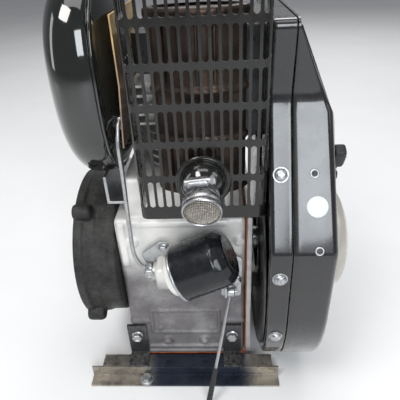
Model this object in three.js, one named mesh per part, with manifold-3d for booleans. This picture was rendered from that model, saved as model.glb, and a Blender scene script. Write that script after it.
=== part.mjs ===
// Small air-cooled single-cylinder engine on two mounting rails.
// Millimetres, +Z up. The crankshaft lies along X, with the drive end at -X and the flywheel at +X.
// Every shape is written around the centre of the crankshaft; one group lifts the whole engine so
// that its rails stand on Z = 0.
import * as THREE from 'three';
import { mergeVertices } from 'three/addons/utils/BufferGeometryUtils.js';
import Module from 'manifold-3d';

const wasm = await Module();
wasm.setup();

// ---- driving dimensions ----
const gap = 0.3;                     // clearance between touching pieces
const crankHeight = 178;             // crank axis above the floor
const frameShift = { x: 15, y: -5 };  // moves the centre of the footprint to the origin

const cylinderX = -40;               // the cylinder's axis
const boreRadius = 45;
const crankThrow = 37.5;
const rodLength = 135;
const crankPinRadius = 19;
const journalRadius = 17.5;
const deckZ = 211;                   // top of the cylinder barrel
const headTopZ = 270;
const rockerTopZ = 314;

const caseBox = { x0: -142, x1: 30, y: 90, z0: -158, z1: 95 };
const neckBox = { x0: -124, x1: 12, y: 80, z1: 150 };
const caseWall = 8;
const bearingRadius = 31;

const gearModule = 3.125;
const crankTeeth = 16;
const camTeeth = 2 * crankTeeth;
const camAxis = { y: 25, z: -70.7 };  // one gear centre distance, 75, from the crank axis
const gearX = [-96, -84];

const railX = [-206, 80];
const railWebY = 120;
const railFlange = 21;
const railTopZ = -157;
const sheet = 3;

const fanRadius = 170;               // outside of the blower housing round the flywheel
const cowlX = [52, 76.6];
const housingX = [77, 127];
const skin = 2;
const airHood = { x: 14, y: 71.5, z0: 200, z1: 327 };

const guard = { x0: -94, x1: 50, front: -131.5, back: -80, z0: 124, z1: 386, sheet: 1.5 };
const slot = { width: 6.2, height: 33, pitchX: 9.4, pitchZ: 40, firstZ: 139.5, rows: 6 };
const outlet = { x: -20, z: 172 };

const muffler = { x: -21, y: -99, halfX: 52, halfY: 26, z0: 150, z1: 346 };

const filterBase = new THREE.Vector3(-55, -130, 40);
const filterTilt = THREE.MathUtils.degToRad(25);
const filterRadius = 36;
const filterLength = 68;

const tank = { x: -154, y: -8, z: 262, halfX: 51, halfY: 100, halfZ: 114, seamX: -128 };
const filler = { x: -158, y: 30, top: 382 };
const exhaust = { x: -21, z: 240, outer: 13 };
const intake = { z: 240, outer: 15 };
const recoilRadius = 78;

// ---- materials ----
function paint(color, roughness, metalness) {
  return new THREE.MeshStandardMaterial({ color, roughness, metalness });
}
const castAluminium = paint(0xb4b2ad, 0.5, 0.8);
const blackIron = paint(0x2b2a29, 0.6, 0.5);
const blackPaint = paint(0x17181a, 0.35, 0.3);
const glossBlack = paint(0x0b0c0d, 0.08, 0.3);
const greySheet = paint(0x4a4c52, 0.3, 0.6);
const zinc = paint(0xb9bcc0, 0.3, 0.9);
const steel = paint(0x8f9194, 0.35, 0.95);
const brownSteel = paint(0x4a3a30, 0.45, 0.7);
const creamPaint = paint(0xc9c3b4, 0.4, 0.3);
const redSealant = paint(0xb0492c, 0.7, 0.0);
const blackPlastic = paint(0x161616, 0.5, 0.0);

// ---- helpers ----
// Each axis basis sends a shape's own x, y and depth to the two section axes and the run axis.
const axisBasis = {
  x: new THREE.Matrix4().makeBasis(
    new THREE.Vector3(0, 1, 0), new THREE.Vector3(0, 0, 1), new THREE.Vector3(1, 0, 0)),
  y: new THREE.Matrix4().makeBasis(
    new THREE.Vector3(1, 0, 0), new THREE.Vector3(0, 0, 1), new THREE.Vector3(0, -1, 0)),
  z: new THREE.Matrix4(),
};
const spinBasis = {
  x: new THREE.Matrix4().makeBasis(
    new THREE.Vector3(0, 0, -1), new THREE.Vector3(1, 0, 0), new THREE.Vector3(0, -1, 0)),
  y: new THREE.Matrix4(),
  z: new THREE.Matrix4().makeRotationX(Math.PI / 2),
};

function toSolid(geometry) {
  const bare = geometry.clone();
  bare.deleteAttribute('normal');
  bare.deleteAttribute('uv');
  const merged = mergeVertices(bare, 1e-4);
  const positions = merged.attributes.position.array;
  const triangles = [];
  let volume = 0;
  const corner = [new THREE.Vector3(), new THREE.Vector3(), new THREE.Vector3()];
  for (let i = 0; i < merged.index.count; i += 3) {
    const ids = [0, 1, 2].map((k) => merged.index.array[i + k]);
    if (ids[0] === ids[1] || ids[1] === ids[2] || ids[0] === ids[2]) continue;
    ids.forEach((id, k) => corner[k].fromArray(positions, 3 * id));
    volume += corner[0].dot(corner[1].clone().cross(corner[2]));
    triangles.push(...ids);
  }
  if (volume < 0) {
    for (let i = 0; i < triangles.length; i += 3) {
      [triangles[i], triangles[i + 1]] = [triangles[i + 1], triangles[i]];
    }
  }
  return new wasm.Manifold(new wasm.Mesh({
    numProp: 3,
    vertProperties: new Float32Array(positions),
    triVerts: new Uint32Array(triangles),
  }));
}

function toGeometry(solid) {
  const mesh = solid.getMesh();
  const geometry = new THREE.BufferGeometry();
  geometry.setAttribute('position', new THREE.BufferAttribute(mesh.vertProperties, 3));
  geometry.setIndex(new THREE.BufferAttribute(mesh.triVerts, 1));
  geometry.computeVertexNormals();
  return geometry;
}

function box(x0, x1, y0, y1, z0, z1) {
  const geometry = new THREE.BoxGeometry(x1 - x0, y1 - y0, z1 - z0);
  geometry.translate((x0 + x1) / 2, (y0 + y1) / 2, (z0 + z1) / 2);
  return toSolid(geometry);
}

// A round bar along an axis, from a to b, centred on (u, v) of the two other axes.
function bar(axis, radius, a, b, u = 0, v = 0, sides = 20) {
  const geometry = new THREE.CylinderGeometry(radius, radius, b - a, sides);
  const middle = (a + b) / 2;
  if (axis === 'x') geometry.rotateZ(Math.PI / 2).translate(middle, u, v);
  if (axis === 'y') geometry.translate(u, middle, v);
  if (axis === 'z') geometry.rotateX(Math.PI / 2).translate(u, v, middle);
  return toSolid(geometry);
}

// A flat outline in the plane across an axis, pulled from a to b along it.
function pull(axis, outline, a, b, holes = []) {
  const points = (list) => list.map(([u, v]) => new THREE.Vector2(u, v));
  const shape = outline instanceof THREE.Shape ? outline : new THREE.Shape(points(outline));
  for (const hole of holes) shape.holes.push(new THREE.Path(points(hole)));
  const geometry = new THREE.ExtrudeGeometry(shape, { depth: b - a, bevelEnabled: false, curveSegments: 6 });
  geometry.applyMatrix4(axisBasis[axis]);
  if (axis === 'x') geometry.translate(a, 0, 0);
  if (axis === 'y') geometry.translate(0, b, 0);
  if (axis === 'z') geometry.translate(0, 0, a);
  return toSolid(geometry);
}

// A turned piece: [radius, place along the axis] pairs that start and end on the axis or close.
function turn(axis, profile, segments = 20) {
  const geometry = new THREE.LatheGeometry(profile.map(([r, h]) => new THREE.Vector2(r, h)), segments);
  geometry.applyMatrix4(spinBasis[axis]);
  return toSolid(geometry);
}

function ring(axis, inner, outer, a, b, segments = 20) {
  return turn(axis, [[inner, a], [outer, a], [outer, b], [inner, b], [inner, a]], segments);
}

function join(...solids) {
  return solids.reduce((sum, solid) => sum.add(solid));
}

function roundedRect(u0, u1, v0, v1, radius) {
  const shape = new THREE.Shape();
  shape.moveTo(u0 + radius, v0);
  shape.lineTo(u1 - radius, v0);
  shape.absarc(u1 - radius, v0 + radius, radius, -Math.PI / 2, 0);
  shape.lineTo(u1, v1 - radius);
  shape.absarc(u1 - radius, v1 - radius, radius, 0, Math.PI / 2);
  shape.lineTo(u0 + radius, v1);
  shape.absarc(u0 + radius, v1 - radius, radius, Math.PI / 2, Math.PI);
  shape.lineTo(u0, v0 + radius);
  shape.absarc(u0 + radius, v0 + radius, radius, Math.PI, 1.5 * Math.PI);
  return shape;
}

const engine = new THREE.Group();
function place(name, solid, material) {
  const mesh = new THREE.Mesh(toGeometry(solid), material);
  mesh.name = name;
  engine.add(mesh);
  return mesh;
}

// ---- crankcase and its covers ----
function crankcase() {
  const { x0, x1, y, z0, z1 } = caseBox;
  const outer = join(
    box(x0, x1, -y, y, z0, z1),
    box(neckBox.x0, neckBox.x1, -neckBox.y, neckBox.y, z1 - 1, neckBox.z1),
  );
  const hollow = box(x0 + caseWall, x1 + 1, -y + caseWall, y - caseWall, z0 - 1, z1 - caseWall);
  const bearingBoss = bar('x', bearingRadius + 9, x0 + 1, x0 + 20);
  const bearingHole = bar('x', bearingRadius + gap, x0 - 1, x0 + 21);
  const cylinderHole = bar('z', 50 + gap, z1 - 20, neckBox.z1 + 1, cylinderX, 0);
  const panel = box(-111, -6, -y - 2, -y + 1, -114, -64)
    .subtract(box(-107, -10, -y - 3, -y + 2, -110, -68));
  const plugs = [-88, -31].map((x) => toSolid(new THREE.SphereGeometry(7, 10, 6).translate(x, -y, -129)));
  const ledge = box(-119, -4, -y - 2, -y + 1, -145, -141);
  const bosses = [-120, -20, 22].map((x) => bar('y', 7, -y - 3, -y + 1, x, 60, 16));
  return join(outer.subtract(hollow), bearingBoss, panel, ledge, ...plugs, ...bosses)
    .subtract(bearingHole).subtract(cylinderHole);
}
place('crankcase', crankcase(), castAluminium);

const caseOutline = [[-90, -158], [90, -158], [90, 95], [-90, 95]];
function sideCover() {
  const plate = pull('x', caseOutline, caseBox.x1 + 1.6, caseBox.x1 + 9);
  const boss = bar('x', bearingRadius + 9, 20, 45);
  return plate.add(boss).subtract(bar('x', bearingRadius + gap, 19, 39))
    .subtract(bar('x', journalRadius + 1, 30, 46));
}
place('side_cover', sideCover(), castAluminium);
place('side_gasket', pull('x', [[-91.5, -159.5], [91.5, -159.5], [91.5, 96.5], [-91.5, 96.5]],
  caseBox.x1 + gap, caseBox.x1 + 1.3, [[[-84, -150], [84, -150], [84, 89], [-84, 89]]]), redSealant);

const panTop = caseBox.z0 - 2.6;
place('pan_gasket', pull('z', [[-141, -91.5], [28, -91.5], [28, 91.5], [-141, 91.5]],
  caseBox.z0 - 2.3, caseBox.z0 - gap, [[[-132, -82], [20, -82], [20, 82], [-132, 82]]]), redSealant);
place('oil_pan', box(-138, 26, -87, 87, -175, panTop)
  .subtract(box(-135, 23, -84, 84, -172, panTop + 1)), blackPaint);

// ---- rails, feet and their bolts ----
// A rail is a Z section. side is -1 for the front rail and +1 for the rear one.
function rail(side) {
  const web = railWebY;
  const section = [
    [web + railFlange - sheet, -crankHeight], [web + railFlange - sheet, -crankHeight + sheet],
    [web, -crankHeight + sheet], [web, railTopZ], [web - 24, railTopZ], [web - 24, railTopZ - sheet],
    [web - sheet, railTopZ - sheet], [web - sheet, -crankHeight],
  ].map(([y, z]) => [side * y, z]);
  const full = pull('x', section, railX[0], railX[1]);
  const cut = (x0, x1) => box(x0, x1, Math.min(side * (web - 30), side * (web - sheet)),
    Math.max(side * (web - 30), side * (web - sheet)), railTopZ - sheet - 1, railTopZ + 1);
  const bolt = bar('z', 4.5, -crankHeight - 1, -crankHeight + 4, -121, side * (web + 9), 16);
  return full.subtract(cut(railX[0] - 1, railX[0] + 16)).subtract(cut(railX[1] - 9, railX[1] + 1))
    .subtract(bolt);
}
place('front_rail', rail(-1), blackPaint);
place('rear_rail', rail(1), blackPaint);

const footZ = -115;
function footBracket(x0, x1, side) {
  const face = caseBox.y + gap;
  const section = [
    [face, -95], [face + 4, -95], [face + 4, railTopZ + gap + 4], [railWebY, railTopZ + gap + 4],
    [railWebY, railTopZ + gap], [face, railTopZ + gap],
  ].map(([y, z]) => [side * y, z]);
  const middle = (x0 + x1) / 2;
  return pull('x', section, x0, x1)
    .subtract(bar('y', 4.5, side * face - 6, side * face + 6, middle, footZ, 16));
}

// A flanged hex bolt whose head points along an axis; sign gives the way it points.
function bolt(axis, u, v, seat, sign, headAcross, headHeight, shankRadius, shankLength) {
  const span = (a, b) => [seat + sign * a, seat + sign * b].sort((p, q) => p - q);
  const [w0, w1] = span(gap, gap + 1.6);
  const [h0, h1] = span(gap + 1.2, gap + headHeight);
  const [s0, s1] = span(-shankLength, gap + 2);
  return join(
    bar(axis, headAcross * 0.68, w0, w1, u, v, 16),
    bar(axis, headAcross / 1.732, h0, h1, u, v, 6),
    bar(axis, shankRadius, s0, s1, u, v, 12),
  );
}

const feet = [[-148, -119], [-2.5, 24.6]];
for (const [sideName, side] of [['front', -1], ['rear', 1]]) {
  feet.forEach(([x0, x1], index) => {
    const hand = index === 0 ? 'left' : 'right';
    place(`foot_${sideName}_${hand}`, footBracket(x0, x1, side), blackPaint);
    place(`foot_bolt_${sideName}_${hand}`,
      bolt('y', (x0 + x1) / 2, footZ, side * (caseBox.y + gap + 4), side, 13, 8, 3.9, 3.6), zinc);
  });
}
place('rail_bolt', bolt('z', -121, -(railWebY + 9), -crankHeight + sheet, 1, 13, 8, 3.9, sheet - 0.4), zinc);

// ---- cast iron bell round the drive end of the crankshaft ----
function driveBell() {
  const shell = turn('x', [
    [36, -150], [36, -142.3], [104, -142.3], [107, -146], [107, -168], [109, -170], [109, -186],
    [113, -188], [113, -200], [104, -200], [99, -194], [99, -150], [36, -150],
  ], 32);
  const lugAngles = [35, 125, 215, 305].map(THREE.MathUtils.degToRad);
  const lugs = lugAngles.map((angle) => {
    const reach = 114;
    const [y, z] = [reach * Math.cos(angle), reach * Math.sin(angle)];
    return bar('x', 11, -200, -176, y, z, 12);
  });
  const bore = bar('x', 99, -210, -150.5, 0, 0, 32);
  return shell.add(join(...lugs).subtract(bore));
}
place('drive_bell', driveBell(), blackIron);
place('bearing_drive', ring('x', journalRadius + gap, bearingRadius, -140, -124), steel);
place('bearing_flywheel', ring('x', journalRadius + gap, bearingRadius, 22, 38), steel);

// ---- cylinder, head and rocker cover ----
function cylinderBarrel() {
  const profile = [[boreRadius + gap, 112], [50, 112], [50, neckBox.z1 + gap], [58, neckBox.z1 + gap]];
  const fins = 5;
  const pitch = (deckZ - neckBox.z1 - 8) / fins;
  for (let i = 0; i < fins; i += 1) {
    const z = neckBox.z1 + 5 + i * pitch;
    profile.push([54, z], [68, z], [68, z + 3], [54, z + 3]);
  }
  profile.push([54, deckZ], [boreRadius + gap, deckZ], [boreRadius + gap, 112]);
  return turn('z', profile, 20);
}
place('cylinder_barrel', cylinderBarrel().translate([cylinderX, 0, 0]), castAluminium);

const plugX = -80;
function cylinderHead() {
  const z0 = deckZ + gap;
  const fins = [];
  for (let z = z0 + 3; z < headTopZ - 8; z += 11) {
    fins.push(box(cylinderX - 62, cylinderX + 62, -66, 66, z, z + 3));
  }
  const core = box(cylinderX - 50, cylinderX + 50, -54, 54, z0, headTopZ);
  const chamber = bar('z', 32, z0 - 1, z0 + 8, cylinderX, 0);
  const exhaustPort = bar('y', exhaust.outer + gap, -70, -30, exhaust.x, exhaust.z, 20);
  const intakePort = bar('y', intake.outer + gap, 30, 70, cylinderX, intake.z, 20);
  const plugHole = bar('y', 7 + gap, 40, 70, plugX, 250, 16);
  return join(core, ...fins).subtract(chamber).subtract(exhaustPort).subtract(intakePort)
    .subtract(plugHole);
}
place('cylinder_head', cylinderHead(), castAluminium);
place('rocker_cover', pull('z', roundedRect(-98, 18, -52, 52, 14), headTopZ + gap, rockerTopZ)
  .subtract(pull('z', roundedRect(-94, 14, -48, 48, 10), headTopZ - 1, rockerTopZ - 4)), blackPaint);
place('spark_plug', join(
  bar('y', 6.5, 42, 68, plugX, 250, 12),
  bar('y', 10, 67, 78, plugX, 250, 6),
  bar('y', 4, 77, 96, plugX, 250, 12),
), steel);

// ---- piston, pin and rod at top dead centre ----
const pinZ = crankThrow + rodLength;
function piston() {
  const body = bar('z', boreRadius, pinZ - 24, pinZ + 37, cylinderX, 0);
  const inside = bar('z', boreRadius - 6, pinZ - 25, pinZ + 28, cylinderX, 0);
  const pinHole = bar('x', 10 + gap, cylinderX - 60, cylinderX + 60, 0, pinZ, 20);
  const bosses = [-1, 1].map((side) => bar('x', 16, cylinderX + side * 28 - 13, cylinderX + side * 28 + 13,
    0, pinZ, 20)).map((boss) => boss.intersect(bar('z', boreRadius - 1, 0, 300, cylinderX, 0)));
  return join(body.subtract(inside), ...bosses).subtract(pinHole);
}
place('piston', piston(), castAluminium);
place('wrist_pin', bar('x', 10, cylinderX - 41, cylinderX + 41, 0, pinZ, 20), steel);

// The foot of the rod stops just outside the circle that the crank pin sweeps.
function connectingRod() {
  const sweep = crankThrow + crankPinRadius + 0.8;
  const half = 10;
  const shank = pull('x', [[-13, 40], [13, 40], [26, sweep + 2], [8, sweep + 30], [7, pinZ], [-7, pinZ],
    [-8, sweep + 30], [-26, sweep + 2]], cylinderX - half + 3, cylinderX + half - 3);
  const smallEnd = bar('x', 17, cylinderX - half, cylinderX + half, 0, pinZ, 24);
  return shank.add(smallEnd).subtract(bar('x', 10 + gap, cylinderX - 20, cylinderX + 20, 0, pinZ, 20))
    .subtract(bar('x', sweep, cylinderX - 20, cylinderX + 20, 0, 0, 40));
}
place('connecting_rod', connectingRod(), steel);

// ---- crankshaft and what turns with it ----
function crankWeb(x0, x1) {
  const weight = 57;
  const shape = new THREE.Shape();
  shape.absarc(0, 0, weight, Math.PI, 2 * Math.PI);
  shape.lineTo(24, crankThrow);
  shape.absarc(0, crankThrow, 24, 0, Math.PI);
  return pull('x', shape, x0, x1);
}
place('crankshaft', join(
  bar('x', 14, -194, -140),
  bar('x', journalRadius, -142, cylinderX - 25),
  crankWeb(cylinderX - 28, cylinderX - 12.5),
  bar('x', crankPinRadius, cylinderX - 14, cylinderX + 14, 0, crankThrow),
  crankWeb(cylinderX + 12.5, cylinderX + 28),
  bar('x', journalRadius, cylinderX + 25, 56),
  bar('x', 14, 55, 112),
), steel);

// A spur gear across X with straight-sided teeth; phase turns its first tooth from +Y.
function gear(teeth, boreHole, phase, centre) {
  const pitchRadius = gearModule * teeth / 2;
  const step = 2 * Math.PI / teeth;
  const outline = [];
  for (let i = 0; i < teeth; i += 1) {
    const middle = phase + i * step;
    const root = pitchRadius - 3.9;
    const tip = pitchRadius + 2.4;
    for (const [radius, part] of [[root, -0.3], [tip, -0.11], [tip, 0.11], [root, 0.3]]) {
      const angle = middle + part * step;
      outline.push([centre.y + radius * Math.cos(angle), centre.z + radius * Math.sin(angle)]);
    }
  }
  return pull('x', outline, gearX[0], gearX[1])
    .subtract(bar('x', boreHole + gap, gearX[0] - 1, gearX[1] + 1, centre.y, centre.z));
}
const meshAngle = Math.atan2(camAxis.z, camAxis.y);
place('crank_gear', gear(crankTeeth, journalRadius, meshAngle, { y: 0, z: 0 }), steel);
place('cam_gear', gear(camTeeth, 9, meshAngle + Math.PI + Math.PI / camTeeth, camAxis), steel);

function camshaft() {
  const lobe = (x, angle) => join(
    bar('x', 12, x - 6, x + 6, camAxis.y, camAxis.z, 16),
    bar('x', 7, x - 6, x + 6, camAxis.y + 8 * Math.cos(angle), camAxis.z + 8 * Math.sin(angle), 12),
  );
  return join(bar('x', 9, -132, 19, camAxis.y, camAxis.z, 20), lobe(-55, 0.6), lobe(-22, 2.4));
}
place('camshaft', camshaft(), steel);

place('flywheel', turn('x', [
  [14 + gap, 60], [30, 60], [34, 70], [100, 70], [104, 60], [128, 60], [128, 84], [14 + gap, 84],
  [14 + gap, 60],
], 32), blackIron);

function coolingFan() {
  const plate = ring('x', 14 + gap, 126, 84 + gap, 87, 32);
  const blades = [];
  const count = 14;
  for (let i = 0; i < count; i += 1) {
    const blade = box(86, 108, 66, 122, -1.25, 1.25);
    blades.push(blade.rotate([360 * i / count, 0, 0]));
  }
  return join(plate, ...blades);
}
place('cooling_fan', coolingFan(), blackPlastic);
place('starter_cup', turn('x', [
  [14 + gap, 88], [46, 88], [46, 124], [43, 124], [43, 91], [14 + gap, 91], [14 + gap, 88],
], 20), steel);

// ---- blower housing ----
// Section across X: round below, a sloping front above it, and a narrow top for the cylinder.
function blowerOutline(inset) {
  const radius = fanRadius - inset;
  const shape = new THREE.Shape();
  shape.moveTo(-(172 - inset), 97);
  shape.lineTo(-radius, 0);
  shape.absarc(0, 0, radius, Math.PI, 2 * Math.PI);
  shape.lineTo(radius, 60);
  shape.lineTo(112 - inset, 250);
  shape.lineTo(108 - inset, 330 - inset);
  shape.lineTo(-(104 - inset), 330 - inset);
  shape.lineTo(-(92 - inset), 250 - 0.3 * inset);
  return shape;
}
// Seen from the front, the outer side leans in above the flywheel.
function housingFront(inset) {
  const [x0, x1] = housingX;
  return pull('y', [[x0 - 2, -180], [x1 - inset - 14, -180], [x1 - inset, -150], [x1 - inset, 222],
    [x0 + 5 - inset, 318 - inset], [x0 + 3 - inset, 340], [x0 - 2, 340]], -200, 200);
}
function blowerHousing() {
  const [x0, x1] = housingX;
  const outer = pull('x', blowerOutline(0), x0, x1).intersect(housingFront(0));
  const inner = pull('x', blowerOutline(skin), x0 - 1, x1 - skin).intersect(housingFront(skin));
  const starterHole = bar('x', 62, x1 - 5, x1 + 5, 0, 0, 28);
  const screwHoles = [[100, 178], [105, 103]].map(([x, z]) => bar('y', 3.5, -190, -90, x, z, 12));
  return outer.subtract(inner).subtract(starterHole).subtract(join(...screwHoles));
}
place('blower_housing', blowerHousing(), greySheet);

const cowlScrews = [[-130, 177.5, -28], [-171, 65, 0], [-166.5, -34, 11.5]];
function cowlScrewAxis([y, z, lift], radius, from, to, sides) {
  return bar('y', radius, from, to, 64, 0, sides).rotate([lift, 0, 0]).translate([0, y, z]);
}
// The cowl carries a web with a window in it, and a hood that leads the air over the cylinder.
function cylinderCowl() {
  const [x0, x1] = cowlX;
  const outer = pull('x', blowerOutline(0.8), x0, x1);
  const inner = pull('x', blowerOutline(0.8 + skin), x0 - 1, x1 + 1);
  const holes = cowlScrews.map((screw) => cowlScrewAxis(screw, 3.4, -14, 14, 12));
  const web = pull('x', blowerOutline(0.9), x0 + 0.2, x0 + 2)
    .intersect(box(x0 - 1, x0 + 3, -200, 200, 164, 400));
  const hoodOuter = box(airHood.x, x0 + 2, -airHood.y, airHood.y, airHood.z0, airHood.z1);
  const window = box(airHood.x - 1, x0 + 3, skin - airHood.y, airHood.y - skin, airHood.z0 - 1,
    airHood.z1 - skin);
  return join(outer.subtract(inner), web, hoodOuter).subtract(window).subtract(join(...holes));
}
place('cylinder_cowl', cylinderCowl(), greySheet);
cowlScrews.forEach((screw, index) => {
  const head = cowlScrewAxis(screw, 7, -6.5, -2.2, 16);
  const shank = cowlScrewAxis(screw, 2.9, -3, 9, 12);
  place(`cowl_screw_${index + 1}`, head.add(shank), zinc);
});
place('back_plate', ring('x', 46, 158, 50.3, 51.7, 40), blackPaint);

// ---- recoil starter ----
place('recoil_housing', turn('x', [
  [0, 176], [60, 176], [72, 170], [recoilRadius, 158], [recoilRadius, 132], [84, 127 + gap],
  [64, 127 + gap], [64, 130], [recoilRadius - 3, 133], [recoilRadius - 3, 157], [70, 167], [59, 173],
  [8, 173], [8, 139], [0, 139],
], 32), creamPaint);
place('recoil_pulley', turn('x', [
  [8 + gap, 140], [54, 140], [48, 145], [48, 151], [54, 156], [8 + gap, 156], [8 + gap, 140],
]), blackPlastic);
const handlePlace = { x: 136, y: -84, z: 178 };
function starterHandle() {
  const grip = pull('x', roundedRect(-9, 9, -16, 12, 6), -7, 7);
  const neck = bar('z', 4, -34, -14, 0, 0, 12);
  return grip.add(neck).rotate([28, 0, 0]).translate([handlePlace.x, handlePlace.y, handlePlace.z]);
}
place('starter_handle', starterHandle(), blackPlastic);

// ---- muffler, its guard and its outlet ----
function ovalOutline(halfX, halfY) {
  return new THREE.Shape(new THREE.EllipseCurve(muffler.x, muffler.y, halfX, halfY).getPoints(20).slice(0, -1));
}
function mufflerBody() {
  const { halfX, halfY, z0, z1 } = muffler;
  const body = pull('z', ovalOutline(halfX - 3, halfY - 3), z0, z1);
  const rims = [z0 + 3, 215, z1 - 9].map((z) => pull('z', ovalOutline(halfX, halfY), z, z + 6));
  const inside = pull('z', ovalOutline(halfX - 6, halfY - 6), z0 + 4, z1 - 4);
  const inlet = bar('y', exhaust.outer + gap, -90, -60, exhaust.x, exhaust.z, 20);
  const outletHole = bar('y', 12, -130, -100, outlet.x, outlet.z, 20);
  return join(body, ...rims).subtract(inside).subtract(inlet).subtract(outletHole);
}
place('muffler_body', mufflerBody(), brownSteel);
place('exhaust_pipe', ring('y', 10, exhaust.outer, -84, -40, 20)
  .translate([exhaust.x, 0, exhaust.z]), brownSteel);

// Rows and columns of upright slots, as boxes that pass through one wall of the guard.
function guardSlots(count, middle, cutBox) {
  const cuts = [];
  for (let row = 0; row < slot.rows; row += 1) {
    for (let column = 0; column < count; column += 1) {
      const u = middle + (column - (count - 1) / 2) * slot.pitchX;
      const z = slot.firstZ + row * slot.pitchZ;
      cuts.push(cutBox(u - slot.width / 2, u + slot.width / 2, z, z + slot.height));
    }
  }
  return join(...cuts);
}
function mufflerGuard() {
  const { x0, x1, front, back, z0, z1 } = guard;
  const shell = box(x0, x1, front, back, z0, z1)
    .subtract(box(x0 + guard.sheet, x1 - guard.sheet, front + guard.sheet, back + 1, z0 - 1, z1 + 1));
  const frontSlots = guardSlots(15, (x0 + x1) / 2,
    (u0, u1, w0, w1) => box(u0, u1, front - 1, front + 3, w0, w1));
  const sideSlots = guardSlots(3, (front + back) / 2 + 1,
    (u0, u1, w0, w1) => box(x0 - 1, x1 + 1, u0, u1, w0, w1));
  const opening = bar('y', 27, front - 5, front + 5, outlet.x, outlet.z, 20);
  return shell.subtract(frontSlots).subtract(sideSlots).subtract(opening);
}
place('muffler_guard', mufflerGuard(), blackPaint);

const alongOutlet = (solid) => solid.translate([outlet.x, 0, outlet.z]);
place('outlet_cup', alongOutlet(turn('y', [
  [11, -128], [24, -128], [25, -133], [23.5, -142], [19, -149], [15, -152], [15, -172], [11, -172],
  [11, -128],
], 20)), blackPaint);
place('outlet_clamp', alongOutlet(join(
  ring('y', 15 + gap, 17.5, -167, -155, 20),
  box(-4, 13, -166, -156, 17, 23),
)), zinc);
place('spark_arrestor', alongOutlet(turn('y', [
  [0, -190], [12, -189], [19, -186], [21, -181], [21, -173], [17, -168 - gap], [15 + gap, -168 - gap],
  [15 + gap, -172.5], [18, -174], [18, -181], [0, -186],
], 20)), steel);

// ---- oil filter ----
// The filter is turned about its own X axis first, then tilted up towards the flywheel side.
function alongFilter(solid) {
  return solid.rotate([0, -THREE.MathUtils.radToDeg(filterTilt), 0]).translate(filterBase.toArray());
}
place('oil_filter', alongFilter(turn('x', [
  [0, 0], [filterRadius + 1, 0], [filterRadius + 1, 3], [filterRadius, 4], [filterRadius, filterLength - 12],
  [filterRadius - 2, filterLength - 9], [filterRadius - 6, filterLength - 2], [filterRadius - 9, filterLength],
  [0, filterLength],
], 24)), blackPaint);
place('filter_adapter', alongFilter(bar('x', 30, -14, -gap, 0, 0, 24))
  .add(box(-96, -62, -132, -caseBox.y - gap, 6, 42)), castAluminium);

// ---- oil line ----
const lineRadius = 2.6;
const linePoints = [[-98, -101, 24], [-104, -103, 27], [-112, -103, 36], [-117, -103, 54], [-117, -103, 90],
  [-116, -103, 130], [-115, -103, 170], [-115, -102, 205], [-114, -94, 224], [-112, -82, 231]];
place('oil_line', toSolid(new THREE.ExtrudeGeometry(new THREE.Shape(
  new THREE.EllipseCurve(0, 0, lineRadius, lineRadius).getPoints(6).slice(0, -1)), {
  steps: 20, bevelEnabled: false,
  extrudePath: new THREE.CatmullRomCurve3(linePoints.map((p) => new THREE.Vector3(...p))),
})), zinc);

// ---- control lever ----
const leverPivot = { x: 10, y: -96, z: -21 };
const leverTip = { x: -25, y: -166, z: -170 };
function leverStretch(from, to, radius, sides) {
  const start = new THREE.Vector3().copy(leverPivot).lerp(leverTip, from);
  const end = new THREE.Vector3().copy(leverPivot).lerp(leverTip, to);
  const geometry = new THREE.CylinderGeometry(radius * 0.8, radius, start.distanceTo(end), sides);
  const turnTo = new THREE.Quaternion().setFromUnitVectors(
    new THREE.Vector3(0, -1, 0), end.clone().sub(start).normalize());
  geometry.applyQuaternion(turnTo);
  const middle = start.add(end).multiplyScalar(0.5);
  return toSolid(geometry.translate(middle.x, middle.y, middle.z));
}
place('control_lever', join(
  bar('x', 8, leverPivot.x - 5, leverPivot.x + 5, leverPivot.y - 3, leverPivot.z, 20),
  leverStretch(0, 0.68, 2.4, 10).translate([0, -3, 0]),
).subtract(bar('x', 3 + gap, leverPivot.x - 9, leverPivot.x + 9, leverPivot.y - 3, leverPivot.z, 12)), zinc);
place('lever_grip', leverStretch(0.69, 1, 4.2, 12).translate([0, -3, 0]), blackPlastic);
place('lever_pin', join(
  bar('x', 3, leverPivot.x - 8, leverPivot.x + 8, leverPivot.y - 3, leverPivot.z, 12),
  box(leverPivot.x - 9, leverPivot.x - 5.5, leverPivot.y - 8, -caseBox.y - gap, -29, -13),
), steel);

// ---- fuel tank, cap and brackets ----
// A pressed tank: a ball pulled towards a box, flat on the side that faces the cylinder.
function squareBall(halfX, halfY, halfZ, power) {
  const geometry = new THREE.SphereGeometry(1, 16, 10);
  const position = geometry.attributes.position;
  const swell = (value) => Math.sign(value) * Math.abs(value) ** power;
  for (let i = 0; i < position.count; i += 1) {
    position.setXYZ(i, swell(position.getX(i)) * halfX, swell(position.getZ(i)) * halfY,
      swell(position.getY(i)) * halfZ);
  }
  return toSolid(geometry).translate([tank.x, tank.y, tank.z]);
}
function fuelTank() {
  const shell = squareBall(tank.halfX, tank.halfY, tank.halfZ, 0.72);
  const flange = squareBall(tank.halfX, tank.halfY + 5, tank.halfZ + 5, 0.72)
    .intersect(box(tank.seamX - 1.5, tank.seamX + 1.5, -300, 300, 0, 500));
  const keep = box(-300, tank.seamX + 14, -300, 300, 0, 500);
  const inside = squareBall(tank.halfX - 3, tank.halfY - 3, tank.halfZ - 3, 0.72)
    .intersect(box(-300, tank.seamX + 11, -300, 300, 0, 500));
  const mouth = bar('z', 20, 330, 400, filler.x, filler.y, 24);
  const neck = ring('z', 19, 22, filler.top - 16, filler.top, 24).translate([filler.x, filler.y, 0]);
  return join(shell.intersect(keep), flange, neck).subtract(inside).subtract(mouth);
}
place('fuel_tank', fuelTank(), glossBlack);
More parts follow.
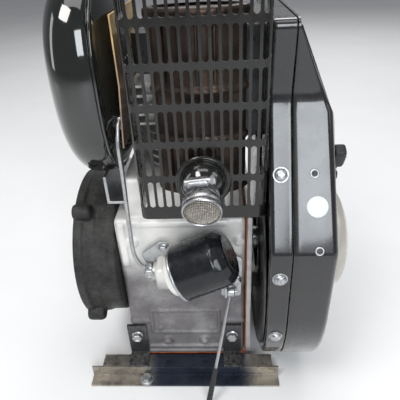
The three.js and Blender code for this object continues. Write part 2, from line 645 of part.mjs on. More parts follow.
place('fuel_cap', turn('z', [
  [0, 393], [24, 393], [27, 390], [27, 378], [24.5, 378], [24.5, 388], [0, 388],
], 32).translate([filler.x, filler.y, 0]), blackPlastic);
place('tank_bracket', join(
  box(-150, -126, -70, 60, neckBox.z1 - 42, neckBox.z1 - 38),
  box(-129, -125 + gap, -70, 60, neckBox.z1 - 54, neckBox.z1 - 38),
  box(-150, -146, -70, 60, neckBox.z1 - 42, neckBox.z1 - 2),
), zinc);
place('heat_shield', pull('y', [[-111, 200], [-109, 200], [-104, 270], [-104, 340], [-106, 340],
  [-106, 270]], -100, 40), brownSteel);

// ---- intake side ----
place('carburettor', join(
  bar('y', intake.outer, 40, 100, cylinderX, intake.z, 24),
  bar('y', 24, 72, 128, cylinderX, intake.z, 24),
  bar('z', 20, 196, intake.z, cylinderX, 100, 24),
  bar('y', 17, 100, 139, cylinderX, intake.z, 24),
).subtract(bar('y', 10, 30, 150, cylinderX, intake.z, 20)), castAluminium);
place('air_cleaner', pull('z', roundedRect(-98, 26, 134, 200, 16), 188, 300)
  .subtract(pull('z', roundedRect(-94, 22, 138, 196, 12), 192, 296))
  .subtract(bar('y', 17 + gap, 130, 145, cylinderX, intake.z, 24)), blackPlastic);

engine.position.set(frameShift.x, frameShift.y, crankHeight);
engine.updateMatrixWorld(true);

export default engine;
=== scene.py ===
import math

import bmesh
import bpy
import numpy as np
from mathutils import Matrix, Vector


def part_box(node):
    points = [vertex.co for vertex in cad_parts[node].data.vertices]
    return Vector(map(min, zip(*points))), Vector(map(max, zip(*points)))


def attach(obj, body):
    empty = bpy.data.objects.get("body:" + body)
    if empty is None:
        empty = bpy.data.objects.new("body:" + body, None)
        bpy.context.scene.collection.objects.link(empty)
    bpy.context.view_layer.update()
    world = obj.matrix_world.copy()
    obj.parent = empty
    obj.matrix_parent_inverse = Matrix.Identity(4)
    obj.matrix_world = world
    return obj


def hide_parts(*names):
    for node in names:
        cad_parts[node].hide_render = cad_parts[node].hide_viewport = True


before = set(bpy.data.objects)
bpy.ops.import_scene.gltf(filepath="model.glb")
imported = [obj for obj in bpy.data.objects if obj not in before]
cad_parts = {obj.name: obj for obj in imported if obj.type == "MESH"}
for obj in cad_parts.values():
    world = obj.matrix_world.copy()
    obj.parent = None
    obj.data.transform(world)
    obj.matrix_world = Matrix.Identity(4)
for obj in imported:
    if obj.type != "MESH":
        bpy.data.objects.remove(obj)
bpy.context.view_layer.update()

# ---- places taken from the frame ----
MM = 0.001


def centre(node):
    low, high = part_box(node)
    return (low + high) / 2


CYLINDER_X = -40                      # the cylinder's axis, from the origin of these lengths
ORIGIN = Vector((
    centre("cylinder_barrel").x - CYLINDER_X * MM,
    centre("bearing_drive").y,
    centre("bearing_drive").z,
))


def span(node):
    """Lowest and highest corner of a CAD node in millimetres around the crankshaft's axis."""
    low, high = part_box(node)
    return (low - ORIGIN) / MM, (high - ORIGIN) / MM


def middle(node):
    low, high = span(node)
    return (low + high) / 2


GUARD_LOW, GUARD_HIGH = span("muffler_guard")
HOUSING_LOW, HOUSING_HIGH = span("blower_housing")
COWL_LOW, COWL_HIGH = span("cylinder_cowl")
BELL_LOW, BELL_HIGH = span("drive_bell")
CASE_LOW, CASE_HIGH = span("crankcase")
OUTLET = middle("outlet_cup")
MUFFLER = middle("muffler_body")
RECOIL_LOW = span("recoil_housing")[0]

ROUND = 96                            # sides of a turned piece
COWL_START = HOUSING_LOW.x - 25       # the cowl's strip begins here; its air hood reaches further in
WEB_BOTTOM = 168                      # the cowl's web covers what is above this height
FAN_RADIUS = 170
SKIN = 2
STICKER_PLACE = Vector((103, -133, 146))
STICKER_RADIUS = 11.5
FILTER_TILT = math.radians(25)
FILTER_BASE = Vector((-55, -130, 40))
FILTER_RADIUS = 36
FILTER_LENGTH = 71


# ---- mesh code: a part is a pair (corners, faces) ----
def merged(*parts):
    corners, faces = [], []
    for part_corners, part_faces in parts:
        start = len(corners)
        corners.extend(part_corners)
        faces.extend([[start + i for i in face] for face in part_faces])
    return corners, faces


def moved(part, shift=(0, 0, 0), turn=None):
    corners, faces = part
    shift = Vector(shift)
    turn = turn or Matrix.Identity(3)
    return [turn @ Vector(c) + shift for c in corners], faces


def spin_matrix(axis, degrees):
    return Matrix.Rotation(math.radians(degrees), 3, axis.upper())


def on_axis(axis, u, v, along):
    """A point from its two places across an axis and its place along it."""
    return {"x": (along, u, v), "y": (u, along, v), "z": (u, v, along)}[axis]


def lathe(axis, profile, sides=ROUND, ripple=None):
    """A turned part from (radius, place along the axis) pairs; ripple(place, angle) scales the radius."""
    corners, faces, rings = [], [], []
    for radius, along in profile:
        if radius < 1e-6:
            corners.append(on_axis(axis, 0, 0, along))
            rings.append([len(corners) - 1] * sides)
            continue
        ring = []
        for i in range(sides):
            angle = 2 * math.pi * i / sides
            reach = radius * (ripple(along, angle) if ripple else 1)
            corners.append(on_axis(axis, reach * math.cos(angle), reach * math.sin(angle), along))
            ring.append(len(corners) - 1)
        rings.append(ring)
    for lower, upper in zip(rings, rings[1:]):
        for i in range(sides):
            j = (i + 1) % sides
            face = list(dict.fromkeys([lower[i], lower[j], upper[j], upper[i]]))
            if len(face) > 2:
                faces.append(face)
    return corners, faces


def smooth_profile(points, radius=1.0, steps=3):
    """A profile with its inner corners rounded."""
    result = [points[0]]
    for before, corner, after in zip(points, points[1:], points[2:]):
        result.extend(round_corner(before, corner, after, radius, steps))
    result.append(points[-1])
    return result


def round_corner(before, corner, after, radius, steps):
    before, corner, after = Vector(before), Vector(corner), Vector(after)
    to_before, to_after = before - corner, after - corner
    cut = min(radius, 0.45 * to_before.length, 0.45 * to_after.length)
    if cut < 1e-4:
        return [tuple(corner)]
    start = corner + to_before.normalized() * cut
    end = corner + to_after.normalized() * cut
    points = []
    for i in range(steps + 1):
        t = i / steps
        points.append(tuple((1 - t) ** 2 * start + 2 * t * (1 - t) * corner + t * t * end))
    return points


def rounded_outline(points, radii, steps=6):
    """A closed outline with each corner rounded by its own radius."""
    result = []
    count = len(points)
    for i, corner in enumerate(points):
        radius = radii if isinstance(radii, (int, float)) else radii[i]
        result.extend(round_corner(points[i - 1], corner, points[(i + 1) % count], radius, steps))
    return result


def turned(axis, points, sides=ROUND, radius=1.0, steps=3, ripple=None):
    """A turned part whose profile has rounded corners."""
    return lathe(axis, smooth_profile(points, radius, steps), sides, ripple)


def prism(axis, outline, low, high):
    count = len(outline)
    corners = [on_axis(axis, u, v, along) for along in (low, high) for u, v in outline]
    faces = [[i, (i + 1) % count, count + (i + 1) % count, count + i] for i in range(count)]
    faces.append(list(range(count))[::-1])
    faces.append(list(range(count, 2 * count)))
    return corners, faces


def block(low, high, radius=1.0, steps=3):
    """A box with all its edges rounded."""
    low, high = Vector(low), Vector(high)
    bm = bmesh.new()
    bmesh.ops.create_cube(bm, size=1)
    size = high - low
    for vertex in bm.verts:
        vertex.co = Vector([c * s for c, s in zip(vertex.co, size)]) + (low + high) / 2
    if radius > 0:
        bmesh.ops.bevel(bm, geom=bm.edges[:], offset=min(radius, 0.45 * min(size)), segments=steps,
                        profile=0.5, affect="EDGES")
    bm.verts.index_update()
    part = [v.co.copy() for v in bm.verts], [[v.index for v in f.verts] for f in bm.faces]
    bm.free()
    return part


def loft(loops):
    """Joins closed loops of equal length."""
    count = len(loops[0])
    corners = [point for loop in loops for point in loop]
    faces = []
    for row in range(len(loops) - 1):
        a, b = row * count, (row + 1) * count
        for i in range(count):
            j = (i + 1) % count
            faces.append([a + i, a + j, b + j, b + i])
    return corners, faces


def capped_loft(loops):
    corners, faces = loft(loops)
    count = len(loops[0])
    faces.append(list(range(count))[::-1])
    faces.append(list(range(len(corners) - count, len(corners))))
    return corners, faces


def smooth_path(points, per_span=8):
    """Points on a Catmull-Rom curve through the given ones."""
    points = [Vector(p) for p in points]
    padded = [2 * points[0] - points[1], *points, 2 * points[-1] - points[-2]]
    path = []
    for i in range(1, len(padded) - 2):
        p0, p1, p2, p3 = padded[i - 1:i + 3]
        for step in range(per_span):
            t = step / per_span
            path.append(0.5 * (2 * p1 + (p2 - p0) * t + (2 * p0 - 5 * p1 + 4 * p2 - p3) * t * t
                               + (3 * p1 - p0 - 3 * p2 + p3) * t ** 3))
    path.append(points[-1])
    return path


def tube(points, radius, sides=24, per_span=8):
    """A closed round tube along a smooth path; radius is a number or a function of the share run."""
    path = smooth_path(points, per_span)
    loops, side = [], None
    for i, point in enumerate(path):
        ahead = (path[min(i + 1, len(path) - 1)] - path[max(i - 1, 0)]).normalized()
        if side is None:
            side = ahead.orthogonal().normalized()
        side = (side - side.dot(ahead) * ahead).normalized()
        other = ahead.cross(side)
        reach = radius(i / (len(path) - 1)) if callable(radius) else radius
        loops.append([point + reach * (math.cos(2 * math.pi * k / sides) * side
                                       + math.sin(2 * math.pi * k / sides) * other) for k in range(sides)])
    return capped_loft(loops)


def make(name, part, material, body="engine", replaces=(), slot=None, edge=0.0, edge_steps=2,
         sharp=35, wall=0.0):
    """A Blender piece from a part: rounded edges, an optional wall thickness, its material and its body."""
    corners, faces = part
    mesh = bpy.data.meshes.new(name)
    mesh.from_pydata([Vector(c) * MM + ORIGIN for c in corners], [], faces)
    bm = bmesh.new()
    bm.from_mesh(mesh)
    bmesh.ops.remove_doubles(bm, verts=bm.verts, dist=1e-6)
    bmesh.ops.recalc_face_normals(bm, faces=bm.faces)
    bm.to_mesh(mesh)
    bm.free()
    piece = bpy.data.objects.new(name, mesh)
    bpy.context.scene.collection.objects.link(piece)
    if wall:
        thick = piece.modifiers.new("wall", "SOLIDIFY")
        thick.thickness = wall * MM
        thick.offset = -1
    soften(piece, edge, edge_steps, sharp)
    mesh.materials.append(material)
    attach(piece, body)
    if replaces:
        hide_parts(*replaces)
    return piece


def soften(piece, edge, edge_steps, sharp):
    """Smooth shading with rounded edges where faces meet sharply."""
    mesh = piece.data
    mesh.polygons.foreach_set("use_smooth", [True] * len(mesh.polygons))
    if edge:
        bevel = piece.modifiers.new("edge", "BEVEL")
        bevel.width = edge * MM
        bevel.segments = edge_steps
        bevel.limit_method = "ANGLE"
        bevel.angle_limit = math.radians(sharp)
        bevel.harden_normals = True
        bevel.use_clamp_overlap = True
    else:
        mesh.set_sharp_from_angle(angle=math.radians(sharp))


def baked_shape(piece):
    """Applies a piece's modifiers to its own mesh."""
    graph = bpy.context.evaluated_depsgraph_get()
    result = bpy.data.meshes.new_from_object(piece.evaluated_get(graph))
    old = piece.data
    piece.modifiers.clear()
    piece.data = result
    bpy.data.meshes.remove(old)


def cast(name, part, material, cutters=(), voxel=1.6, rounds=4, **kwargs):
    """A casting: closed blocks melted into one skin with soft fillets, bored by the cutters."""
    piece = make(name, part, material, sharp=180, **kwargs)
    skin = piece.modifiers.new("skin", "REMESH")
    skin.mode = "VOXEL"
    skin.voxel_size = voxel * MM
    smooth = piece.modifiers.new("smooth", "SMOOTH")
    smooth.iterations = rounds
    baked_shape(piece)
    for cutter in cutters:
        tool = make(name + "_cutter", cutter, material)
        cut = piece.modifiers.new("cut", "BOOLEAN")
        cut.operation = "DIFFERENCE"
        cut.solver = "EXACT"
        cut.object = tool
        baked_shape(piece)
        bpy.data.objects.remove(tool)
    mesh = piece.data
    mesh.polygons.foreach_set("use_smooth", [True] * len(mesh.polygons))
    mesh.set_sharp_from_angle(angle=math.radians(50))
    return piece


def dress_node(name, material, edge=0.6, sharp=32):
    """A CAD node that keeps its shape: shared corners, flat areas in one face, rounded edges."""
    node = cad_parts[name]
    mesh = node.data
    if "custom_normal" in mesh.attributes:
        mesh.attributes.remove(mesh.attributes["custom_normal"])
    mesh.materials.clear()
    mesh.materials.append(material)
    weld = node.modifiers.new("weld", "WELD")
    weld.merge_threshold = 1e-5
    flat = node.modifiers.new("flat", "DECIMATE")
    flat.decimate_type = "DISSOLVE"
    flat.angle_limit = math.radians(0.5)
    soften(node, edge, 2, sharp)


# ---- materials ----
class Surface:
    """Builds one material: a Principled shader with procedural colour, roughness and bump."""

    def __init__(self, name, rough, metal, coat=0.0, coat_rough=0.05, specular=0.5):
        self.material = bpy.data.materials.new(name)
        self.material.use_nodes = True
        self.tree = self.material.node_tree
        self.shader = self.tree.nodes["Principled BSDF"]
        self.shader.inputs["Metallic"].default_value = metal
        self.shader.inputs["Roughness"].default_value = rough
        self.shader.inputs["Coat Weight"].default_value = coat
        self.shader.inputs["Coat Roughness"].default_value = coat_rough
        self.shader.inputs["Specular IOR Level"].default_value = specular
        self.place = self.node("ShaderNodeTexCoord").outputs["Object"]
        self.height = None

    def node(self, kind, **settings):
        made = self.tree.nodes.new(kind)
        for key, value in settings.items():
            setattr(made, key, value)
        return made

    def link(self, source, target):
        self.tree.links.new(source, target)

    def stretched(self, scale):
        """Object coordinates scaled by a triple, for grain that runs one way."""
        mapping = self.node("ShaderNodeMapping")
        mapping.inputs["Scale"].default_value = scale
        self.link(self.place, mapping.inputs["Vector"])
        return mapping.outputs["Vector"]

    def noise(self, scale, detail=4, rough=0.6, stretch=None, distortion=0.0):
        made = self.node("ShaderNodeTexNoise")
        made.inputs["Scale"].default_value = scale
        made.inputs["Detail"].default_value = detail
        made.inputs["Roughness"].default_value = rough
        made.inputs["Distortion"].default_value = distortion
        self.link(self.stretched(stretch) if stretch else self.place, made.inputs["Vector"])
        return made.outputs["Fac"]

    def cells(self, scale):
        made = self.node("ShaderNodeTexVoronoi")
        made.inputs["Scale"].default_value = scale
        self.link(self.place, made.inputs["Vector"])
        return made.outputs["Distance"]

    def remap(self, value, low, high, to_low=0.0, to_high=1.0):
        made = self.node("ShaderNodeMapRange", interpolation_type="SMOOTHSTEP")
        for key, number in zip(("From Min", "From Max", "To Min", "To Max"), (low, high, to_low, to_high)):
            made.inputs[key].default_value = number
        self.link(value, made.inputs["Value"])
        return made.outputs["Result"]

    def height_share(self, axis, low, high):
        """0 to 1 between two places in metres along an axis of the row frame."""
        split = self.node("ShaderNodeSeparateXYZ")
        self.link(self.place, split.inputs["Vector"])
        return self.remap(split.outputs[axis], low, high)

    def math(self, operation, a, b):
        made = self.node("ShaderNodeMath", operation=operation)
        for socket, value in zip(made.inputs, (a, b)):
            if isinstance(value, (int, float)):
                socket.default_value = value
            else:
                self.link(value, socket)
        return made.outputs["Value"]

    def blend(self, share, a, b):
        made = self.node("ShaderNodeMix", data_type="RGBA")
        self.link(share, made.inputs["Factor"])
        for key, value in ((6, a), (7, b)):
            if isinstance(value, tuple):
                made.inputs[key].default_value = (*value, 1)
            else:
                self.link(value, made.inputs[key])
        return made.outputs[2]

    def ramp(self, share, *stops):
        made = self.node("ShaderNodeValToRGB")
        elements = made.color_ramp.elements
        while len(elements) < len(stops):
            elements.new(0.5)
        for element, (position, colour) in zip(elements, stops):
            element.position = position
            element.color = (*colour, 1)
        self.link(share, made.inputs["Fac"])
        return made.outputs["Color"]

    def colour(self, source):
        self.link(source, self.shader.inputs["Base Color"])
        return self

    def roughness(self, source, low, high):
        self.link(self.remap(source, 0.3, 0.7, low, high), self.shader.inputs["Roughness"])
        return self

    def bump(self, source, depth_mm, strength=1.0):
        made = self.node("ShaderNodeBump")
        made.inputs["Distance"].default_value = depth_mm * MM
        made.inputs["Strength"].default_value = strength
        self.link(source, made.inputs["Height"])
        if self.height:
            self.link(self.height, made.inputs["Normal"])
        self.height = made.outputs["Normal"]
        self.link(self.height, self.shader.inputs["Normal"])
        return self

    def highlit_edges(self, colour_source, lighter_mix, low=0.53, high=0.6):
        """Mixes a lighter colour in where the mesh is convex: a painted highlight along its edges and creases.
        """
        edge = self.remap(self.node("ShaderNodeNewGeometry").outputs["Pointiness"], low, high)
        patchy = self.math("MULTIPLY", edge, self.remap(self.noise(160), 0.35, 0.65))
        return self.blend(patchy, colour_source, lighter_mix)


def cast_aluminium():
    s = Surface("cast_aluminium", 0.5, 0.4)
    # painted shade: by height the case goes from a near-white lit tone above to a dark mauve-grey below,
    # standing in for the light on its upper part and the shadow cast on its lower part
    painted_shade_share = s.math("ADD", s.height_share("Z", 0.235, 0.150),
                   s.remap(s.noise(14, 5), 0.3, 0.75, -0.25, 0.25))
    upper_lit_tone = s.ramp(s.noise(40, 6), (0.3, (0.78, 0.765, 0.73)), (0.7, (0.88, 0.87, 0.84)))
    painted_shadow_tone = s.ramp(s.noise(55, 6), (0.3, (0.13, 0.122, 0.126)), (0.7, (0.22, 0.207, 0.214)))
    s.colour(s.blend(painted_shade_share, upper_lit_tone, painted_shadow_tone)).roughness(s.noise(90), 0.42, 0.62)
    return s.bump(s.noise(700, 5, 0.7), 0.25).bump(s.cells(1100), 0.12).material


def plain_aluminium():
    s = Surface("machined_aluminium", 0.4, 0.8)
    s.colour(s.ramp(s.noise(50, 6), (0.3, (0.50, 0.49, 0.47)), (0.7, (0.66, 0.65, 0.63))))
    return s.roughness(s.noise(120), 0.35, 0.55).bump(s.noise(800, 5, 0.7), 0.15).material


def black_iron():
    s = Surface("black_iron", 0.5, 0.55, specular=0.6)
    base = s.ramp(s.noise(60, 8, 0.7), (0.35, (0.014, 0.014, 0.013)), (0.72, (0.060, 0.058, 0.055)))
    # painted highlight: a lighter grey mixed in along the convex edges
    s.colour(s.highlit_edges(base, (0.12, 0.115, 0.11))).roughness(s.noise(260, 4), 0.34, 0.58)
    return s.bump(s.noise(420, 6, 0.75), 0.7).bump(s.cells(900), 0.25).material


def gloss_black():
    s = Surface("gloss_black", 0.12, 0.0, coat=1.0, coat_rough=0.03)
    s.colour(s.ramp(s.noise(9, 4), (0.35, (0.006, 0.007, 0.006)), (0.7, (0.014, 0.015, 0.014))))
    dust = s.remap(s.noise(900, 2), 0.62, 0.75)
    s.roughness(dust, 0.08, 0.3)
    return s.bump(s.noise(60, 2), 0.06).bump(s.noise(14, 2), 0.5).material


def satin_black():
    s = Surface("satin_black", 0.34, 0.1, coat=0.4, coat_rough=0.2)
    base = s.ramp(s.noise(80, 5), (0.3, (0.012, 0.013, 0.015)), (0.75, (0.028, 0.029, 0.031)))
    # painted highlight: a lighter tone mixed in along the convex edges
    s.colour(s.highlit_edges(base, (0.10, 0.095, 0.09))).roughness(s.noise(140), 0.26, 0.45)
    return s.bump(s.noise(350, 3), 0.12).material


def guard_paint():
    s = Surface("guard_paint", 0.25, 0.0, coat=0.45, coat_rough=0.08, specular=0.3)
    base = s.ramp(s.noise(45, 5), (0.3, (0.007, 0.007, 0.006)), (0.75, (0.016, 0.015, 0.013)))
    s.colour(base).roughness(s.noise(120), 0.18, 0.34)
    return s.bump(s.noise(120, 3), 0.06).material


def grey_sheet():
    s = Surface("grey_sheet", 0.26, 0.08, coat=0.9, coat_rough=0.08, specular=0.3)
    flakes = s.ramp(s.noise(2600, 2), (0.35, (0.014, 0.014, 0.015)), (0.7, (0.024, 0.023, 0.024)))
    shade = s.ramp(s.noise(12, 4), (0.3, (0.80, 0.80, 0.80)), (0.75, (1.0, 1.0, 1.0)))
    mixed = s.node("ShaderNodeMix", data_type="RGBA", blend_type="MULTIPLY")
    mixed.inputs["Factor"].default_value = 1
    s.link(flakes, mixed.inputs[6])
    s.link(shade, mixed.inputs[7])
    # painted highlight: a brownish tone mixed in along the convex edges and creases
    s.colour(s.highlit_edges(mixed.outputs[2], (0.22, 0.19, 0.17), 0.54, 0.66))
    s.roughness(s.noise(30), 0.2, 0.34)
    return s.bump(s.noise(10, 2), 0.5).bump(s.noise(220, 2), 0.03).material


def zinc_plate():
    s = Surface("zinc_plate", 0.25, 1.0)
    tint = s.ramp(s.noise(130, 4), (0.3, (0.36, 0.37, 0.39)), (0.55, (0.50, 0.51, 0.52)),
                  (0.75, (0.52, 0.49, 0.44)))
    s.colour(tint).roughness(s.noise(350), 0.28, 0.50)
    return s.bump(s.noise(900, 3), 0.06).material


def machined_steel():
    s = Surface("machined_steel", 0.3, 1.0)
    s.colour(s.ramp(s.noise(200, 4, stretch=(1, 6, 6)), (0.3, (0.34, 0.34, 0.35)),
                    (0.7, (0.56, 0.56, 0.57))))
    return s.roughness(s.noise(300), 0.22, 0.42).bump(s.noise(900, 2, stretch=(6, 1, 1)), 0.05).material


def brown_steel():
    s = Surface("heat_tinted_steel", 0.42, 0.75)
    tint = s.ramp(s.noise(26, 6), (0.25, (0.020, 0.015, 0.014)), (0.5, (0.048, 0.033, 0.027)),
                  (0.68, (0.085, 0.056, 0.040)), (0.85, (0.060, 0.050, 0.056)))
    s.colour(tint).roughness(s.noise(160), 0.3, 0.55)
    return s.bump(s.noise(500, 5), 0.2).material


def gold_steel():
    s = Surface("golden_shield", 0.34, 0.85)
    # painted shading: by height the shield runs from dark brown below to a bright gold band near its top,
    # standing in for how the light falls on the curved sheet
    painted_shading_share = s.math("ADD", s.height_share("Z", 0.40, 0.54), s.remap(s.noise(22, 5), 0.3, 0.7, -0.2, 0.2))
    tint = s.ramp(painted_shading_share, (0.0, (0.28, 0.21, 0.16)), (0.45, (0.50, 0.35, 0.22)), (0.75, (0.86, 0.62, 0.28)),
                  (1.0, (0.60, 0.40, 0.18)))
    s.colour(tint).roughness(s.noise(120), 0.25, 0.5)
    return s.bump(s.noise(300, 4, stretch=(1, 1, 0.1)), 0.12).material


def cream_paint():
    s = Surface("cream_paint", 0.32, 0.15, coat=0.6, coat_rough=0.15)
    s.colour(s.ramp(s.noise(30, 5), (0.3, (0.42, 0.395, 0.34)), (0.7, (0.50, 0.475, 0.42))))
    return s.roughness(s.noise(100), 0.26, 0.42).bump(s.noise(240, 3), 0.08).material


def red_sealant():
    s = Surface("red_sealant", 0.5, 0.0)
    s.colour(s.ramp(s.noise(160, 4), (0.3, (0.30, 0.055, 0.02)), (0.7, (0.62, 0.16, 0.05))))
    return s.roughness(s.noise(200), 0.35, 0.65).bump(s.noise(240, 4), 0.5).material


def black_plastic():
    s = Surface("black_plastic", 0.45, 0.0)
    s.colour(s.ramp(s.noise(90, 4), (0.3, (0.012, 0.012, 0.013)), (0.7, (0.024, 0.024, 0.025))))
    return s.roughness(s.noise(250), 0.36, 0.56).bump(s.cells(1500), 0.06).material


def filter_paint():
    s = Surface("filter_paint", 0.24, 0.0, coat=0.25, coat_rough=0.12, specular=0.3)
    s.colour(s.ramp(s.noise(50, 4), (0.3, (0.006, 0.007, 0.009)), (0.7, (0.012, 0.013, 0.016))))
    return s.roughness(s.noise(120), 0.2, 0.34).bump(s.noise(900, 2), 0.03).material


def rail_paint():
    s = Surface("rail_paint", 0.3, 0.6, coat=0.3, coat_rough=0.2)
    ends = s.math("MAXIMUM", s.height_share("X", -0.085, -0.125), s.height_share("X", 0.035, 0.068))
    lighter_mix = s.math("MULTIPLY", ends, s.remap(s.noise(30, 6), 0.25, 0.6, 0.35, 1.0))
    middle_tone = s.ramp(s.noise(24, 5), (0.3, (0.020, 0.026, 0.044)), (0.7, (0.046, 0.056, 0.080)))
    rubbed = s.ramp(s.noise(22, 6, stretch=(0.5, 2, 2)), (0.25, (0.16, 0.145, 0.125)),
                    (0.55, (0.42, 0.38, 0.32)), (0.8, (0.50, 0.42, 0.32)))
    s.colour(s.blend(lighter_mix, middle_tone, rubbed)).roughness(s.noise(60), 0.22, 0.42)
    return s.bump(s.noise(400, 4), 0.05).material


def sticker_film():
    s = Surface("sticker_film", 0.35, 0.0, coat=0.3, coat_rough=0.1)
    from_middle = s.node("ShaderNodeVectorMath", operation="DISTANCE")
    s.link(s.place, from_middle.inputs[0])
    from_middle.inputs[1].default_value = STICKER_PLACE * MM + ORIGIN
    rings = s.ramp(s.math("MULTIPLY", from_middle.outputs["Value"], 1 / (STICKER_RADIUS * MM)),
                   (0.0, (0.62, 0.76, 0.69)), (0.42, (0.64, 0.78, 0.71)), (0.45, (0.08, 0.38, 0.20)),
                   (0.50, (0.70, 0.80, 0.75)), (0.84, (0.70, 0.80, 0.75)), (0.87, (0.10, 0.42, 0.24)),
                   (0.91, (0.76, 0.83, 0.80)))
    s.colour(rings).roughness(s.noise(300), 0.3, 0.42)
    return s.bump(s.noise(300, 2), 0.02).material


def bare_mesh():
    s = Surface("wire_steel", 0.3, 0.9)
    s.colour(s.ramp(s.noise(300, 3), (0.3, (0.36, 0.32, 0.28)), (0.7, (0.66, 0.62, 0.56))))
    return s.roughness(s.noise(500), 0.22, 0.42).bump(s.noise(2000, 2), 0.03).material


def floor_surface():
    s = Surface("pale_floor", 0.7, 0.0, specular=0.2)
    s.colour(s.ramp(s.noise(3, 3), (0.3, (0.86, 0.86, 0.86)), (0.7, (0.90, 0.90, 0.90))))
    return s.bump(s.noise(120, 3), 0.1).material


ALUMINIUM = cast_aluminium()
MACHINED_ALUMINIUM = plain_aluminium()
IRON = black_iron()
GLOSS = gloss_black()
SATIN = satin_black()
GUARD_PAINT = guard_paint()
SHEET = grey_sheet()
ZINC = zinc_plate()
STEEL = machined_steel()
BROWN = brown_steel()
GOLD = gold_steel()
CREAM = cream_paint()
SEALANT = red_sealant()
PLASTIC = black_plastic()
FILTER_PAINT = filter_paint()
RAIL_PAINT = rail_paint()
WIRE = bare_mesh()


# ---- camera, lights and floor ----
CAMERA_PLACE = Vector((0.015, -0.538, 0.572))
CAMERA_YAW, CAMERA_PITCH, CAMERA_ROLL = 3.5, 31.36, -3.05      # degrees
CAMERA_LENS = 37.8


def add_camera():
    yaw, pitch, roll = (math.radians(angle) for angle in (CAMERA_YAW, CAMERA_PITCH, CAMERA_ROLL))
    forward = Vector((-math.sin(yaw) * math.cos(pitch), math.cos(yaw) * math.cos(pitch), -math.sin(pitch)))
    level = Vector((math.cos(yaw), math.sin(yaw), 0))
    upright = level.cross(forward)
    right = math.cos(roll) * level + math.sin(roll) * upright
    top = math.cos(roll) * upright - math.sin(roll) * level
    data = bpy.data.cameras.new("camera")
    data.sensor_width = 36
    data.lens = CAMERA_LENS
    data.clip_start = 0.01
    camera = bpy.data.objects.new("camera", data)
    turn = Matrix((right, top, -forward)).transposed()
    camera.matrix_world = Matrix.Translation(CAMERA_PLACE) @ turn.to_4x4()
    bpy.context.scene.collection.objects.link(camera)
    bpy.context.scene.camera = camera


def add_light(name, azimuth, elevation, distance, width, height, power, colour=(1, 1, 1)):
    """A soft panel that faces the engine; azimuth 0 is in front and 90 on the flywheel's side."""
    a, e = math.radians(azimuth), math.radians(elevation)
    back = Vector((math.sin(a) * math.cos(e), -math.cos(a) * math.cos(e), math.sin(e)))
    data = bpy.data.lights.new(name, "AREA")
    data.shape = "RECTANGLE"
    data.size = width
    data.size_y = height
    data.energy = power
    data.color = colour
    light = bpy.data.objects.new(name, data)
    target = Vector((0, 0, 0.28))
    light.location = target + back * distance
    light.rotation_mode = "QUATERNION"
    light.rotation_quaternion = (-back).to_track_quat("-Z", "Y")
    bpy.context.scene.collection.objects.link(light)


def add_studio():
    add_light("front_panel", 14, 27, 3.0, 1.3, 1.35, 50, (0.90, 0.95, 1.0))
    add_light("key_panel", -40, 55, 2.6, 0.8, 0.8, 24, (1.0, 0.98, 0.95))
    add_light("top_panel", 0, 86, 2.6, 2.0, 1.6, 24)
    add_light("left_strip", -82, 18, 2.4, 0.5, 1.6, 7)
    add_light("rear_panel", 168, 38, 3.0, 2.0, 1.2, 25)
    add_light("right_panel", 78, 34, 3.0, 1.2, 1.2, 10)
    world = bpy.data.worlds.new("studio")
    world.use_nodes = True
    world.node_tree.nodes["Background"].inputs["Color"].default_value = (0.93, 0.95, 1.0, 1)
    world.node_tree.nodes["Background"].inputs["Strength"].default_value = 0.21
    bpy.context.scene.world = world
    bpy.context.scene.view_settings.view_transform = "Standard"
    half, steps = 8.0, 16
    corners = [(half * (2 * i / steps - 1), half * (2 * j / steps - 1), -0.0005)
               for j in range(steps + 1) for i in range(steps + 1)]
    row = steps + 1
    faces = [[j * row + i, j * row + i + 1, (j + 1) * row + i + 1, (j + 1) * row + i]
             for j in range(steps) for i in range(steps)]
    mesh = bpy.data.meshes.new("floor")
    mesh.from_pydata(corners, [], faces)
    mesh.materials.append(floor_surface())
    floor = bpy.data.objects.new("floor", mesh)
    bpy.context.scene.collection.objects.link(floor)


# ---- fasteners ----
def bolt_part(axis, place, sign, across=13, height=7.5, flange=8.8, reach=3.0):
    """A flanged hex bolt with a chamfered, dished head; it points along sign times the axis."""
    corner = across / math.sqrt(3)
    washer = lathe(axis, [(0, -reach), (flange - 0.5, -reach), (flange, 0.4), (flange, 1.0),
                          (flange - 1.2, 1.9), (0, 2.0)], 48)

    def hexagon(along, angle):
        flat = math.pi / 3
        return math.cos(flat / 2) / math.cos((angle % flat) - flat / 2)
    head = lathe(axis, [(0, 1.0), (corner, 1.0), (corner, height - 0.8), (corner * 0.9, height),
                        (corner * 0.62, height), (corner * 0.55, height - 0.9), (0, height - 0.9)],
                 72, hexagon)
    both = merged(washer, head)
    if sign < 0:
        half_turn = Matrix.Rotation(math.pi, 3, {"x": "Z", "y": "X", "z": "X"}[axis])
        both = moved(both, turn=half_turn)
    return moved(both, place)


BOLT_HEAD = 8                         # from a foot bolt's seat to the top of its head
RAIL_BOLT_HEAD = 7.7


def add_bolts():
    for name, sign in (("foot_bolt_front_left", -1), ("foot_bolt_front_right", -1),
                       ("foot_bolt_rear_left", 1), ("foot_bolt_rear_right", 1)):
        low, high = span(name)
        seat_y = high.y - BOLT_HEAD if sign > 0 else low.y + BOLT_HEAD
        seat = Vector(((low.x + high.x) / 2, seat_y, (low.z + high.z) / 2))
        make(name + "_detail", bolt_part("y", seat, sign), ZINC, replaces=[name], slot="zinc", sharp=28)
    low, high = span("rail_bolt")
    seat = Vector(((low.x + high.x) / 2, (low.y + high.y) / 2, high.z - RAIL_BOLT_HEAD))
    nut = bolt_part("z", seat, 1)
    washer = moved(turned("z", [(0, -0.2), (10.5, -0.2), (10.5, 0.6), (0, 0.6)], 48, 0.3), seat)
    make("rail_bolt_detail", merged(nut, washer), ZINC, replaces=["rail_bolt"], slot="zinc", sharp=28)


